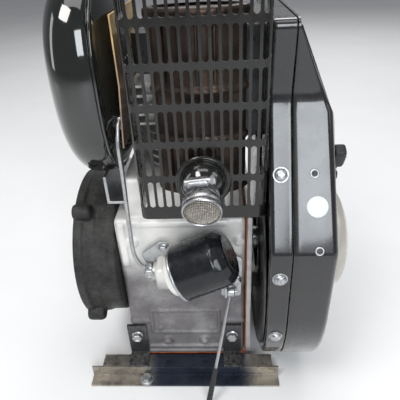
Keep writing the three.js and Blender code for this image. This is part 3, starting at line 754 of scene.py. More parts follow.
# ---- castings ----
def add_crankcase():
    x0, x1 = CASE_LOW.x, CASE_HIGH.x
    y0 = -90
    z0, z1 = CASE_LOW.z, 95
    neck_z = CASE_HIGH.z
    blocks = [
        block((x0, y0, z0), (x1, -y0, z1), 7),
        block((x0 + 18, y0 + 8, z1 - 20), (x1 - 18, -y0 - 8, neck_z), 7),
        block((x0 + 4, y0 - 3.2, 20), (x0 + 15, y0 + 6, z1 - 4), 3),
        block((x0 + 18, y0 - 1.5, z1 - 12), (x1 - 22, y0 + 8, z1 - 2), 3),
        block((x0, y0 - 2.6, -92), (x0 + 30, y0 + 8, -84), 2.5),
        block((x1 - 34, y0 - 2.6, -92), (x1, y0 + 8, -84), 2.5),
        block((-119, y0 - 3.2, -146), (-4, y0 + 6, -140.5), 1.8),
        block((-123, y0 - 2.4, z0), (0, y0 + 6, z0 + 6), 1.5),
        block((x0 + 26, -y0 - 6, -120), (x1 - 26, -y0 + 3, -40), 4),
    ]
    rim = 4.5
    for low, high in (((-111, -114), (-6, -114 + rim)), ((-111, -64 - rim), (-6, -64)),
                      ((-111, -114), (-111 + rim, -64)), ((-6 - rim, -114), (-6, -64))):
        blocks.append(block((low[0], y0 - 3, low[1]), (high[0], y0 + 6, high[1]), 1.8))
    for x in (-88, -31):
        dome = lathe("y", [(0, -8.2), (3.4, -7.6), (6.0, -5.6), (7.4, -2.6), (7.8, 0), (7.8, 8), (0, 8)],
                     32)
        blocks.append(moved(dome, (x, y0, -129)))
    for x in (-120, -20, 22):
        boss = lathe("y", [(0, -4), (5.5, -4), (7.5, -2), (8, 8), (0, 8)], 32)
        blocks.append(moved(boss, (x, y0, 60)))
    for x, z in ((-98, -104), (-20, -104), (-20, -74)):
        stud = lathe("y", [(0, -2.6), (3.2, -2.2), (4.2, 0), (4.2, 6), (0, 6)], 24)
        blocks.append(moved(stud, (x, y0, z)))
    bore = moved(lathe("x", [(0, 0), (31.6, 0), (31.6, 40), (0, 40)], 64), (x0 - 10, 0, 0))
    cast("crankcase_casting", merged(*blocks), ALUMINIUM, [bore], voxel=1.5, rounds=3,
         replaces=["crankcase"], slot="cast_aluminium")


LUG_ANGLES = (35, 125, 215, 305)
LUG_CIRCLE = 114


def lug_place(degrees):
    return LUG_CIRCLE * math.cos(math.radians(degrees)), LUG_CIRCLE * math.sin(math.radians(degrees))


def add_bell():
    rim = BELL_HIGH.x
    profile = smooth_profile([(36, rim - 7), (36, rim), (101, rim), (106, rim - 3), (107, rim - 7),
                              (107, rim - 25), (108.4, rim - 26), (107.4, rim - 28), (109.5, rim - 30),
                              (110, rim - 44), (113, rim - 46.5), (113, BELL_LOW.x), (104, BELL_LOW.x),
                              (99, BELL_LOW.x + 5), (99, rim - 7), (36, rim - 7)], 1.6)
    shell = lathe("x", profile, 192)
    lugs = []
    for angle in LUG_ANGLES:
        away = lug_place(angle)
        lug = turned("x", [(0, -200), (9.5, -200), (11.2, -196), (11.4, -180), (9, -175), (0, -174)], 40, 2)
        web = block((-199, -11.2, -12), (-177, 11.2, 2), 3)
        turn = Matrix.Rotation(math.radians(angle - 90), 3, "X")
        lugs.append(moved(merged(lug, moved(web, (0, 0, 0), turn)), (0, *away)))
    inside = lathe("x", [(0, -203), (104.4, -203), (104.4, -200), (99.2, -194), (99.2, rim - 7.2),
                         (0, rim - 7.2)], 96)
    holes = [moved(lathe("x", [(0, -210), (4.4, -210), (4.4, -183), (0, -183)], 32),
                   (0, *lug_place(angle))) for angle in LUG_ANGLES]
    cast("drive_bell_casting", merged(shell, *lugs), IRON, [inside, *holes], voxel=1.5, rounds=2,
         replaces=["drive_bell"], slot="black_iron")


def add_filter_adapter():
    low = span("filter_adapter")[0]
    turn = Matrix.Rotation(-FILTER_TILT, 3, "Y")
    collar = moved(lathe("x", [(0, -12), (25, -12), (27, -9), (27, -0.4), (0, -0.4)], 64), FILTER_BASE,
                   turn)
    body = block((low.x + 8, low.y + 32, 8), (-62, -86, 42), 5)
    ear = block((low.x - 3, -112, 10), (low.x + 16, -88, 30), 5)
    cast("filter_adapter_casting", merged(collar, body, ear), ALUMINIUM, voxel=1.2, rounds=3,
         replaces=["filter_adapter"], slot="cast_aluminium")


# ---- sheet metal of the blower ----
def blower_outline(inset):
    """The housing's outline across X: round below, a sloping front, and a narrow top."""
    start = [(-104, 330), (-92, 250), (-172, 97)]
    arc = [(FAN_RADIUS * math.cos(a), FAN_RADIUS * math.sin(a))
           for a in (math.pi + math.pi * i / 90 for i in range(91))]
    end = [(170, 60), (112, 250), (108, 330)]
    points = rounded_outline(start + arc + end, [12, 16, 6] + [0] * len(arc) + [20, 30, 12], 6)
    result = []
    count = len(points)
    for i, point in enumerate(points):
        ahead = Vector(points[(i + 1) % count]) - Vector(points[i - 1])
        outward = Vector((ahead.y, -ahead.x)).normalized()
        result.append(Vector(point) - inset * outward)
    return result


LEAN_START, LEAN_END = 222, 318


def side_reach(z):
    """How far out the housing's outer side stands at a height: it leans in above the flywheel."""
    outer, thin = HOUSING_HIGH.x, HOUSING_LOW.x + 5
    slope = (outer - thin) / (LEAN_END - LEAN_START)
    softness = 4
    past = softness * math.log1p(math.exp(min((z - LEAN_START) / softness, 60)))
    return max(outer - slope * past, HOUSING_LOW.x + 2.5)


def across(x_share, z):
    return HOUSING_LOW.x + x_share * (side_reach(z) - HOUSING_LOW.x)


def add_blower_housing():
    depth = HOUSING_HIGH.x - HOUSING_LOW.x
    fillet = 8
    loops = []
    for x, inset in [(0, 1.6), (0.8, 0.4), (2.0, 0), (10, 0), (depth - fillet - 10, 0)]:
        loops.append([(across(x / depth, z), y, z) for y, z in blower_outline(inset)])
    for i in range(9):
        angle = math.pi / 2 * i / 8
        x = depth - fillet + fillet * math.sin(angle)
        inset = fillet * (1 - math.cos(angle))
        loops.append([(across(x / depth, z), y, z) for y, z in blower_outline(inset)])
    rim = blower_outline(fillet)
    hole = [Vector((62 * math.cos(a), 62 * math.sin(a))) for a in (math.atan2(z, y) for y, z in rim)]
    for i in range(1, 29):
        share = (i / 28) ** 0.8
        ring = [a.lerp(b, share) for a, b in zip(rim, hole)]
        loops.append([(across(1, z), y, z) for y, z in ring])
    make("blower_housing_shell", loft(loops), SHEET, replaces=["blower_housing"], slot="grey_sheet",
         wall=SKIN, sharp=60)


def add_cowl():
    x0, x1 = COWL_START, COWL_HIGH.x
    loops = []
    for x, inset in [(x0, 14), (x0, 5.5), (x0 + 0.4, 3.4), (x0 + 1.4, 1.8), (x0 + 3, 1.0), (x0 + 5, 0.8),
                     (x1 - 4, 0.8), (x1 - 1.6, 0.4), (x1 - 0.6, 0.8), (x1, 2)]:
        loops.append([(x, y, z) for y, z in blower_outline(inset)])
    make("cylinder_cowl_shell", loft(loops), SHEET, replaces=["cylinder_cowl"], slot="grey_sheet",
         wall=SKIN, sharp=60)


def add_air_hood():
    """The sheet that leads the air from the cowl over the cylinder, with its web."""
    x0, x1 = COWL_LOW.x, COWL_START + 2
    half_y, z0, z1 = 71.5, 200, 327
    outer = rounded_outline([(-half_y, z0), (-half_y, z1), (half_y, z1), (half_y, z0)], [0, 8, 8, 0], 5)
    loops = [[(x, y, z) for y, z in outer] for x in (x0, x0 + 0.8, (x0 + x1) / 2, x1)]
    corners, faces = loft(loops)
    last = len(outer) - 1
    faces = [face for face in faces if not (face[0] % len(outer) == last and face[1] % len(outer) == 0)]
    make("air_hood", (corners, faces), SATIN, slot="grey_sheet", wall=SKIN, edge=0.4, sharp=50)
    outline = [p for p in blower_outline(3) if p[1] > WEB_BOTTOM]
    window = [(-half_y - 1, WEB_BOTTOM), (-half_y - 1, z1 + 0.4), (half_y + 1, z1 + 0.4),
              (half_y + 1, WEB_BOTTOM)]
    rear_side = [p for p in outline if p[0] > 0]
    front_side = [p for p in outline if p[0] <= 0]
    if rear_side[0][1] > rear_side[-1][1]:
        rear_side.reverse()
        front_side.reverse()
    ring = rear_side + front_side
    web = prism("x", [tuple(p) for p in ring] + window, COWL_START + 0.3, COWL_START + 1.6)
    make("cowl_web", web, SATIN, slot="grey_sheet", sharp=40)


def button_head(turn, place, radius=7.2):
    """A low round screw head with a cross recess, pointing along -Y before the turn."""
    dome = lathe("y", [(0, -5.2), (radius * 0.45, -5.0), (radius * 0.8, -3.9), (radius * 0.97, -2.0),
                       (radius, -0.9), (radius, 0.6), (0, 0.6)], 48)
    washer = turned("y", [(0, -0.4), (radius + 1.6, -0.4), (radius + 1.6, 0.9), (0, 0.9)], 48, 0.3)
    rib = radius * 0.5
    cross = merged(block((-rib, -5.5, -0.8), (rib, -4.6, 0.8), 0.2, 1),
                   block((-0.8, -5.5, -rib), (0.8, -4.6, rib), 0.2, 1))
    return moved(merged(dome, washer, cross), place, turn)


def add_cowl_screws():
    seats = ((-130, 177.5, -28), (-171, 65, 0), (-166.5, -34, 11.5))
    for index, (y, z, lift) in enumerate(seats):
        head = button_head(spin_matrix("x", lift), (64, y, z))
        make(f"cowl_screw_head_{index + 1}", head, ZINC, replaces=[f"cowl_screw_{index + 1}"],
             slot="zinc", sharp=40)


SLOPE = math.degrees(math.atan2(172 - 92, 250 - 97))


def slope_y(z):
    """The front of the housing between its two creases."""
    return -92 - (250 - z) * (172 - 92) / (250 - 97)


def add_housing_details():
    lift = spin_matrix("x", -SLOPE)
    for index, (x, z) in enumerate(((100, 178), (105, 103))):
        collar = turned("y", [(3.4, 1.0), (3.4, -1.0), (4.6, -1.0), (5.4, 0.6), (3.4, 1.0)], 48, 0.4)
        # painted shade: a black disc fills each collar, standing in for the shade inside its hole
        hole_shade_disc = lathe("y", [(0, -0.2), (3.5, -0.2), (3.5, 1.2), (0, 1.2)], 32)
        place = (x, slope_y(z), z)
        make(f"housing_nut_{index + 1}", moved(collar, place, lift), ZINC, slot="zinc", sharp=40)
        make(f"housing_hole_shade_{index + 1}", moved(hole_shade_disc, place, lift), PLASTIC, slot="black_plastic", sharp=40)
    disc = lathe("y", [(0, -0.45), (STICKER_RADIUS - 0.3, -0.45), (STICKER_RADIUS, -0.2),
                       (STICKER_RADIUS, 0.1), (0, 0.1)], 64)
    place = (STICKER_PLACE.x, slope_y(STICKER_PLACE.z) - 0.1, STICKER_PLACE.z)
    make("round_sticker", moved(disc, place, lift), sticker_film(), sharp=60)


def add_back_plate():
    low, high = span("back_plate")
    profile = smooth_profile([(47, low.x), (47, high.x), (66, high.x), (70, low.x + 2.6),
                              (140, low.x + 2.6), (146, high.x), (155, high.x), (158, low.x + 0.8),
                              (156, low.x - 1.5), (154, low.x), (146, low.x), (140, low.x + 1.2),
                              (70, low.x + 1.2), (66, low.x), (47, low.x)], 0.6)
    make("back_plate_pressing", lathe("x", profile, 144), SATIN, replaces=["back_plate"],
         slot="black_paint", sharp=50)


# ---- recoil starter ----
VENT_STEP, VENT_EDGE = 30, 6          # degrees from slot to slot, and half of the bar between two slots
VENT_INSIDE, VENT_OUTSIDE = 29, 49    # radii


def add_recoil():
    base = RECOIL_LOW.x
    profile = smooth_profile([
        (0, 176), (20, 176), (24, 174.6), (52, 174.6), (56, 175.6), (60, 175.6), (71, 170), (77.4, 160),
        (78, 154), (78, 134), (84, base + 2.6), (84, base),
    ], 2.4, 5)
    cover, faces = lathe("x", profile, 160)

    def is_vent(face):
        point = sum((Vector(cover[i]) for i in face), Vector()) / len(face)
        radius = math.hypot(point.y, point.z)
        angle = math.degrees(math.atan2(point.z, point.y)) % VENT_STEP
        return VENT_INSIDE < radius < VENT_OUTSIDE and VENT_EDGE < angle < VENT_STEP - VENT_EDGE
    kept = [face for face in faces if not is_vent(face)]
    make("recoil_cover", (cover, kept), CREAM, replaces=["recoil_housing"], slot="cream_paint", wall=1.6,
         edge=0.3, sharp=50)
    screen = lathe("x", [(0, 171.5), (54, 171.5), (54, 170.5), (0, 170.5)], 64)
    make("recoil_screen", screen, PLASTIC, slot="black_plastic", sharp=40)
    for index, angle in enumerate((45, 135, 225, 315)):
        turn = Matrix.Rotation(math.radians(angle), 3, "X") @ Matrix.Rotation(math.radians(90), 3, "Z")
        away = Matrix.Rotation(math.radians(angle), 3, "X") @ Vector((127.4, 0, 90))
        make(f"recoil_screw_{index + 1}", button_head(turn, away, 5.4), ZINC, slot="zinc", sharp=40)


HANDLE_PLACE = Vector((136, -84, 178))
HANDLE_TILT = 28                      # degrees from upright, as the rope leaves the housing


def add_handle():
    turn = spin_matrix("x", HANDLE_TILT)
    place = HANDLE_PLACE
    outline = rounded_outline([(-9, -16), (9, -16), (7.6, 12), (-7.6, 12)], 5)
    loops = []
    for x, inset in ((-7, 2.4), (-6.2, 1.0), (-4.5, 0.2), (0, 0), (4.5, 0.2), (6.2, 1.0), (7, 2.4)):
        scale = 1 - inset / 12
        loops.append([(x, y * scale, z * scale) for y, z in outline])
    grooves = [block((-7.5, -7.4, z), (7.5, 7.4, z + 1.2), 0.4, 2) for z in (-9, -5, -1, 3)]
    neck = lathe("z", [(0, -34), (3.2, -34), (4, -32), (4, -20), (5, -15), (0, -14)], 32)
    make("starter_handle_grip", moved(merged(capped_loft(loops), neck, *grooves), place, turn), PLASTIC,
         body="starter_handle", replaces=["starter_handle"], slot="black_plastic", edge=0.4, sharp=40)
    eye = turned("z", [(4.6, -46), (8, -46), (8.6, -44), (7.4, -37), (6.4, -35.6), (4.6, -36.4),
                       (4.6, -46)], 48, 0.8)
    foot = block((-9.2, -7, -46), (-4, 7, -38), 1.5)
    make("rope_guide", moved(merged(eye, foot), place, turn), PLASTIC, slot="black_plastic", sharp=40)


# ---- muffler, guard and outlet ----
GUARD_SHEET = 1.5
GUARD_CORNER = 9
SLOT_WIDTH, SLOT_HEIGHT = 6.2, 33
SLOT_PITCH_X, SLOT_PITCH_Z = 9.4, 40
SLOT_FIRST_Z = 139.5
SLOT_ROWS = 6


def guard_point(run, z):
    """A place on the guard's sheet from the length run along it, starting at its rear left edge."""
    x0, x1 = GUARD_LOW.x, GUARD_HIGH.x
    front, back = GUARD_LOW.y, GUARD_HIGH.y
    r = GUARD_CORNER
    side = back - front - r
    arc = math.pi / 2 * r
    face = x1 - x0 - 2 * r
    if run < side:
        return (x0, back - run, z)
    run -= side
    if run < arc:
        a = run / r
        return (x0 + r - r * math.cos(a), front + r - r * math.sin(a), z)
    run -= arc
    if run < face:
        return (x0 + r + run, front, z)
    run -= face
    if run < arc:
        a = run / r
        return (x1 - r + r * math.sin(a), front + r - r * math.cos(a), z)
    return (x1, front + r + (run - arc), z)


def guard_length():
    r = GUARD_CORNER
    return 2 * (GUARD_HIGH.y - GUARD_LOW.y - r) + math.pi * r + (GUARD_HIGH.x - GUARD_LOW.x - 2 * r)


def add_guard():
    length = guard_length()
    columns = int(length // SLOT_PITCH_X)
    margin = (length - columns * SLOT_PITCH_X) / 2
    steps = 8
    parts = []
    base = SLOT_FIRST_Z - (SLOT_PITCH_Z - SLOT_HEIGHT) / 2
    for row in range(SLOT_ROWS):
        for column in range(columns):
            middle_run = margin + (column + 0.5) * SLOT_PITCH_X
            middle_z = base + (row + 0.5) * SLOT_PITCH_Z
            parts.append(slot_cell(middle_run, middle_z, steps))
    ticks = [margin + i * SLOT_PITCH_X / steps for i in range(columns * steps + 1)]
    ticks = [0] + ticks + [length]
    top = base + SLOT_ROWS * SLOT_PITCH_Z
    parts.append(guard_strip(ticks, [GUARD_LOW.z, GUARD_LOW.z + 2, base]))
    parts.append(guard_strip(ticks, [top, GUARD_HIGH.z - 2, GUARD_HIGH.z]))
    for low, high in ((0, margin), (length - margin, length)):
        for row in range(SLOT_ROWS):
            z = base + row * SLOT_PITCH_Z
            parts.append(guard_strip([low, high], [z, z + SLOT_PITCH_Z]))
    corners, faces = merged(*parts)
    kept = []
    for face in faces:
        point = sum((Vector(corners[i]) for i in face), Vector()) / len(face)
        in_front = point.y < GUARD_LOW.y + 1
        if in_front and math.hypot(point.x - OUTLET.x, point.z - OUTLET.z) < 24:
            continue
        kept.append(face)
    make("muffler_guard_sheet", (corners, kept), GUARD_PAINT, replaces=["muffler_guard"],
         slot="black_paint", wall=GUARD_SHEET, edge=0.38, sharp=50)
    lip = moved(turned("y", [(24, 0.2), (25, -1.6), (29, -2), (31, -0.4), (31, 1.8), (24, 2.2),
                             (24, 0.2)], 96, 0.6), (OUTLET.x, GUARD_LOW.y, OUTLET.z))
    make("guard_outlet_lip", lip, GUARD_PAINT, slot="black_paint", sharp=50)


def slot_cell(middle_run, middle_z, steps):
    """One cell of the guard: a rectangle of sheet round an upright slot with round ends."""
    radius = SLOT_WIDTH / 2
    straight = SLOT_HEIGHT / 2 - radius
    inner, outer = [], []
    for i in range(steps + 1):
        angle = math.pi + math.pi * i / steps
        inner.append((radius * math.cos(angle), -straight + radius * math.sin(angle)))
        outer.append((SLOT_PITCH_X * (i / steps - 0.5), -SLOT_PITCH_Z / 2))
    for i in range(steps + 1):
        angle = math.pi * i / steps
        inner.append((radius * math.cos(angle), straight + radius * math.sin(angle)))
        outer.append((SLOT_PITCH_X * (0.5 - i / steps), SLOT_PITCH_Z / 2))
    points = outer + inner
    corners = [guard_point(middle_run + s, middle_z + z) for s, z in points]
    count = len(outer)
    return corners, [[i, (i + 1) % count, count + (i + 1) % count, count + i] for i in range(count)]


def guard_strip(ticks, heights):
    corners = [guard_point(min(run, guard_length() - 1e-6), z) for z in heights for run in ticks]
    row = len(ticks)
    faces = [[j * row + i, j * row + i + 1, (j + 1) * row + i + 1, (j + 1) * row + i]
             for j in range(len(heights) - 1) for i in range(row - 1)]
    return corners, faces


def oval(half_x, half_y, z, sides=96):
    return [(MUFFLER.x + half_x * math.cos(2 * math.pi * i / sides),
             MUFFLER.y + half_y * math.sin(2 * math.pi * i / sides), z) for i in range(sides)]


def add_muffler():
    low, high = span("muffler_body")
    half_x, half_y = (high.x - low.x) / 2, (high.y - low.y) / 2
    section = [(0.5, 8), (0.8, 2.5), (2, 0.4), (4, 0), (8, 0), (10, 0.6), (12, 3), (14, 3.4)]
    heights = [(low.z + dz, inset) for dz, inset in section]
    for bead in (215, 268):
        heights += [(bead - 6, 3.4), (bead - 4, 3), (bead - 2, 0.8), (bead, 0.2), (bead + 2, 0.8),
                    (bead + 4, 3), (bead + 6, 3.4)]
    heights += [(high.z - dz, inset) for dz, inset in section[::-1]]
    loops = [oval(half_x - inset, half_y - inset, z) for z, inset in heights]
    caps = [[oval(half_x * s, half_y * s, z) for s in shares]
            for shares, z in (((0.02, 0.5, 0.8), low.z + 3), ((0.8, 0.5, 0.02), high.z - 3))]
    corners, faces = loft(caps[0] + loops + caps[1])
    make("muffler_shell", (corners, faces), BROWN, replaces=["muffler_body"], slot="brown_steel", sharp=50)
    ribs = []
    for i in range(5):
        x = MUFFLER.x + (i - 2) * 17
        reach = half_y * math.sqrt(1 - ((x - MUFFLER.x) / half_x) ** 2)
        ribs.append(block((x - 1.6, MUFFLER.y - reach - 0.2, low.z + 14),
                          (x + 1.6, MUFFLER.y - reach + 6, 209), 1.2))
        ribs.append(block((x - 1.6, MUFFLER.y - reach - 0.2, 276),
                          (x + 1.6, MUFFLER.y - reach + 6, high.z - 14), 1.2))
    make("muffler_ribs", merged(*ribs), BROWN, slot="brown_steel", sharp=40)


ARRESTOR_TILT = 16                    # degrees down from level


SCREEN_RADIUS = 19.4
SCREEN_RISE = 6.0
SCREEN_PITCH = 1.75
SCREEN_WIRE = 0.30


def add_outlet():
    place = (OUTLET.x, 0, OUTLET.z)
    cup = smooth_profile([(12, -128), (24.4, -128), (25, -131), (24.6, -138), (22, -144.5), (17.6, -149.4),
                          (15.2, -152), (15, -156), (15, -172), (12, -172), (12, -128)], 2.2, 5)
    make("outlet_cup_spun", moved(lathe("y", cup, 128), place), GLOSS, replaces=["outlet_cup"],
         slot="black_paint", sharp=50)
    neck = smooth_profile([(15.4, -168), (16.8, -169), (20.6, -172.5), (21, -176), (20.2, -179),
                           (19.4, -180), (18.4, -178), (15.6, -172), (15.4, -168)], 0.8, 3)
    ring = turned("y", [(19.2, -179), (20.9, -180), (20.9, -184), (19.6, -185.6), (18.4, -184),
                        (19.2, -179)], 96, 0.6)
    make("spark_arrestor_body", hung(merged(lathe("y", neck, 128), ring)), STEEL,
         replaces=["spark_arrestor"], slot="steel", sharp=50)
    make("spark_arrestor_screen", hung(woven_dome()), WIRE, slot="steel", sharp=80)
    backing = lathe("y", [(0, -187.0), (8, -186.4), (14, -184.6), (18, -182), (18.6, -180), (0, -180)], 64)
    make("spark_arrestor_baffle", hung(backing), PLASTIC, slot="steel", sharp=60)


def hung(part):
    """A piece of the arrestor, turned down about the middle of its clamp and set on the outlet."""
    pivot = Vector((0, -160, 0))
    turn = spin_matrix("x", ARRESTOR_TILT)
    level = moved(part, -pivot)
    return moved(level, pivot + Vector((OUTLET.x, 0, OUTLET.z)), turn)


def woven_dome():
    """The arrestor's screen: square-woven wires that follow a low dome."""
    radius, rise, pitch, wire = SCREEN_RADIUS, SCREEN_RISE, SCREEN_PITCH, SCREEN_WIRE
    parts = []
    count = int(radius / pitch)
    for row in range(-count, count + 1):
        offset = row * pitch
        half = math.sqrt(radius ** 2 - offset ** 2)
        steps = max(int(2 * half / pitch) * 2, 4)
        for lengthwise in (True, False):
            points = []
            for i in range(steps + 1):
                run = half * (2 * i / steps - 1)
                weave = wire * math.cos(math.pi * (run / pitch + row)) * (1 if lengthwise else -1)
                depth = -182.4 - rise * (1 - (run ** 2 + offset ** 2) / radius ** 2) + weave
                points.append((run, depth, offset) if lengthwise else (offset, depth, run))
            parts.append(tube(points, wire, 6, 1))
    return merged(*parts)


CLAMP_SLOTS = 26
CLAMP_SLOT_STEP = 5.2                 # degrees


def add_clamp():
    band = turned("y", [(15.4, -167), (17, -167), (17.3, -166.2), (17.3, -156), (17, -155),
                        (15.4, -155), (15.4, -167)], 96, 0.4)
    slots = []
    for i in range(CLAMP_SLOTS):
        cut = block((17.1, -164, -0.35), (17.8, -158, 0.35), 0.15, 1)
        slots.append(moved(cut, turn=spin_matrix("y", 100 - i * CLAMP_SLOT_STEP)))
    house = merged(
        block((-12, -166.8, 16.4), (10, -155.4, 24.4), 2.4),
        moved(lathe("x", [(0, -14.5), (3.8, -14.5), (3.8, 12), (0, 12)], 32), (0, -161, 21)),
        moved(turned("x", [(0, 12), (5.0, 12), (5.0, 16.6), (4.0, 17.4), (0, 17.4)], 6, 0.5),
              (0, -161, 21)),
    )
    make("outlet_clamp_band", hung(merged(band, *slots, moved(house, turn=spin_matrix("y", -7)))), ZINC,
         replaces=["outlet_clamp"], slot="zinc", edge=0.25, sharp=40)


# ---- oil filter and line ----
def add_filter():
    flats = 15

    def fluted(along, angle):
        start, full = FILTER_LENGTH - 15, FILTER_LENGTH - 11
        share = min(max((along - start) / (full - start), 0), 1)
        step = 2 * math.pi / flats
        flat = math.cos(step / 2) / math.cos((angle % step) - step / 2)
        return 1 + share * (flat - 1)
    r, end = FILTER_RADIUS, FILTER_LENGTH
    can = smooth_profile([(0, 0.6), (r - 3, 0.6), (r - 0.6, 1.6), (r, 5), (r, end - 17),
                          (r - 0.6, end - 15.5), (r - 0.8, end - 13), (r - 2, end - 9),
                          (r - 7.5, end - 2), (r - 10, end - 0.4), (r - 16, end - 1.2), (0, end - 1.2)],
                         1.2, 4)
    turn = Matrix.Rotation(-FILTER_TILT, 3, "Y")
    make("oil_filter_can", moved(lathe("x", can, 180, fluted), FILTER_BASE, turn), FILTER_PAINT,
         replaces=["oil_filter"], slot="black_paint", sharp=24)
    rim = turned("x", [(r - 5, -0.3), (r + 0.8, -0.3), (r + 1.3, 1.0), (r + 1.1, 2.8), (r - 0.2, 3.6),
                       (r - 5, 3.4), (r - 5, -0.3)], 128, 0.7, 4)
    make("oil_filter_seam", moved(rim, FILTER_BASE, turn), ZINC, slot="zinc", sharp=40)


LINE_RADIUS = 2.6
LINE_ROUTE = [Vector(place) for place in (
    (-98, -101, 24), (-104, -103, 27), (-112, -103, 36), (-117, -103, 54), (-117, -103, 90),
    (-116, -103, 130), (-115, -103, 170), (-115, -102, 205), (-114, -94, 224), (-112, -82, 231))]


def add_oil_line():
    make("oil_line_tube", tube(LINE_ROUTE, LINE_RADIUS, 32), ZINC, replaces=["oil_line"], slot="zinc",
         sharp=60)
    lower = LINE_ROUTE[0]
    banjo = moved(turned("y", [(0, -6), (7, -6), (7.6, -5), (7.6, 5), (7, 6), (0, 6)], 48, 1), lower)
    make("oil_line_banjo", merged(banjo, bolt_part("y", lower + Vector((0, -6, 0)), -1, 12, 7, 7.5)), ZINC,
         slot="zinc", sharp=30)
    nut = moved(turned("z", [(0, -8), (5.2, -8), (5.2, 4), (4, 6), (0, 6)], 6, 0.8),
                LINE_ROUTE[-1] + Vector((0, -3, -4)))
    make("oil_line_nut", nut, ZINC, slot="zinc", edge=0.4, sharp=30)


def add_fittings():
    """Small plated brackets and bolts on the case beside the filter."""
    plate = rounded_outline([(-104, 30), (-74, 44), (-70, 62), (-82, 66), (-108, 46)], 5)
    make("filter_bracket", prism("y", plate, -98, -95.4), ZINC, slot="zinc", edge=0.5)
    make("filter_bracket_bolt", bolt_part("y", (-78, -98, 56), -1, 10, 6, 6.8), ZINC, slot="zinc", sharp=28)
    make("oil_gallery_plug", bolt_part("y", (-99, -92.5, 4), -1, 10, 6, 7.2), ZINC, slot="zinc", sharp=28)
    plate = rounded_outline([(-4, -34), (24, -34), (26, 34), (12, 40), (0, 34)], 5)
    make("governor_bracket", prism("y", plate, -94.4, -91.8), ZINC, slot="zinc", edge=0.5)
    for index, (x, z) in enumerate(((12, 26), (18, -4))):
        make(f"governor_bolt_{index + 1}", bolt_part("y", (x, -94.6, z), -1, 10, 6, 6.8), ZINC,
             slot="zinc", sharp=28)
    coils, radius, turns = [], 3.2, 12
    for i in range(turns * 10 + 1):
        angle = 2 * math.pi * i / 10
        coils.append((-8 + 26 * i / (turns * 10), -100 + radius * math.cos(angle),
                      44 + radius * math.sin(angle)))
    make("governor_spring", tube(coils, 0.5, 8, 1), STEEL, slot="steel", sharp=80)


# ---- lever ----
LEVER_PIVOT = Vector((10, -99, -21))
LEVER_TIP = Vector((-25, -169, -170))


def add_lever():
    def along(share):
        return LEVER_PIVOT.lerp(LEVER_TIP, share)
    eye = moved(turned("x", [(3.3, -5), (7.2, -5), (8, -4), (8, 4), (7.2, 5), (3.3, 5), (3.3, -5)], 48,
                       0.6), LEVER_PIVOT)
    rod = tube([along(0.035), along(0.3), along(0.5), along(0.69)], 2.3, 32)
    make("control_lever_rod", merged(eye, rod), ZINC, body="control_lever", replaces=["control_lever"],
         slot="zinc", sharp=40)

    def swell(share):
        tip = 1 - max(0, (share - 0.92) / 0.08) ** 2 * 0.55
        ribs = 0.12 * math.cos(share * 60) if 0.1 < share < 0.85 else 0
        return (3.6 + 0.5 * share + ribs) * tip
    grip = tube([along(0.685), along(0.76), along(0.85), along(0.93), along(1.0)], swell, 40, 24)
    make("lever_grip_rubber", grip, PLASTIC, body="control_lever", replaces=["lever_grip"],
         slot="black_plastic", sharp=60)


# ---- fuel tank ----
def swollen(value, power):
    return math.copysign(abs(value) ** power, value)


def add_tank():
    low, high = span("fuel_tank")
    centre_x, centre_y, centre_z = -150, (low.y + high.y) / 2, 260
    half_x, half_y, half_z = 46, 100, 118
    seam_x, power = -128, 0.8
    rows, sides = 72, 128

    def shell(stretch_y, stretch_z, x_limit):
        loops = []
        for i in range(rows + 1):
            # The loops are stacked along X, so that the flat side and the seam are clean.
            share = math.cos(math.pi * (1 - i / rows))
            x = centre_x + half_x * share
            x = min(x, x_limit)
            reach = max(1 - abs((x - centre_x) / half_x) ** (2 / power), 0) ** (power / 2)
            loop = []
            for k in range(sides):
                a = 2 * math.pi * k / sides
                loop.append((x, centre_y + (half_y + stretch_y) * reach * swollen(math.cos(a), power),
                             centre_z + (half_z + stretch_z) * reach * swollen(math.sin(a), power)))
            loops.append(loop)
        return loops
    loops = shell(0, 0, seam_x + 14)
    back = loops[-1]
    for share in (0.97, 0.9, 0.6, 0.3, 0.02):
        loops.append([(back[0][0] + (2.0 if share < 0.95 else 1.2), centre_y + (p[1] - centre_y) * share,
                       centre_z + (p[2] - centre_z) * share) for p in back])
    make("fuel_tank_shell", loft(loops), GLOSS, replaces=["fuel_tank"], slot="gloss_black", sharp=60)
    rim = []
    reach = max(1 - abs((seam_x - centre_x) / half_x) ** (2 / power), 0) ** (power / 2)
    for x, grow in ((-1.4, -1), (-1.4, 4.2), (-1.0, 4.9), (0, 5.1), (1.0, 4.9), (1.4, 4.2), (1.4, -1)):
        rim.append([(seam_x + x, centre_y + (half_y * reach + grow) * swollen(math.cos(a), power),
                     centre_z + (half_z * reach + grow) * swollen(math.sin(a), power))
                    for a in (2 * math.pi * k / sides for k in range(sides))])
    make("fuel_tank_seam", loft(rim), GLOSS, slot="gloss_black", sharp=60)
    cap = middle("fuel_cap")
    neck = smooth_profile([(19.5, 360), (23.5, 360), (23.5, 368), (22, 370), (22, 382), (19.5, 382),
                           (19.5, 360)], 0.8)
    make("fuel_neck", moved(lathe("z", neck, 96), (cap.x, cap.y, 0)), GLOSS, slot="gloss_black", sharp=50)

    def knurl(along, angle):
        return 1 - 0.018 * (0.5 + 0.5 * math.cos(24 * angle)) if along < 389.5 else 1
    top = smooth_profile([(0, 391.2), (16, 391.2), (19, 392.8), (23.5, 392.8), (26.6, 390), (27, 388),
                          (27, 379), (26.4, 378), (24.5, 378), (24.5, 388), (0, 388)], 0.8, 4)
    make("fuel_cap_knurled", moved(lathe("z", top, 192, knurl), (cap.x, cap.y, 0)), PLASTIC,
         body="fuel_cap", replaces=["fuel_cap"], slot="black_plastic", sharp=40)


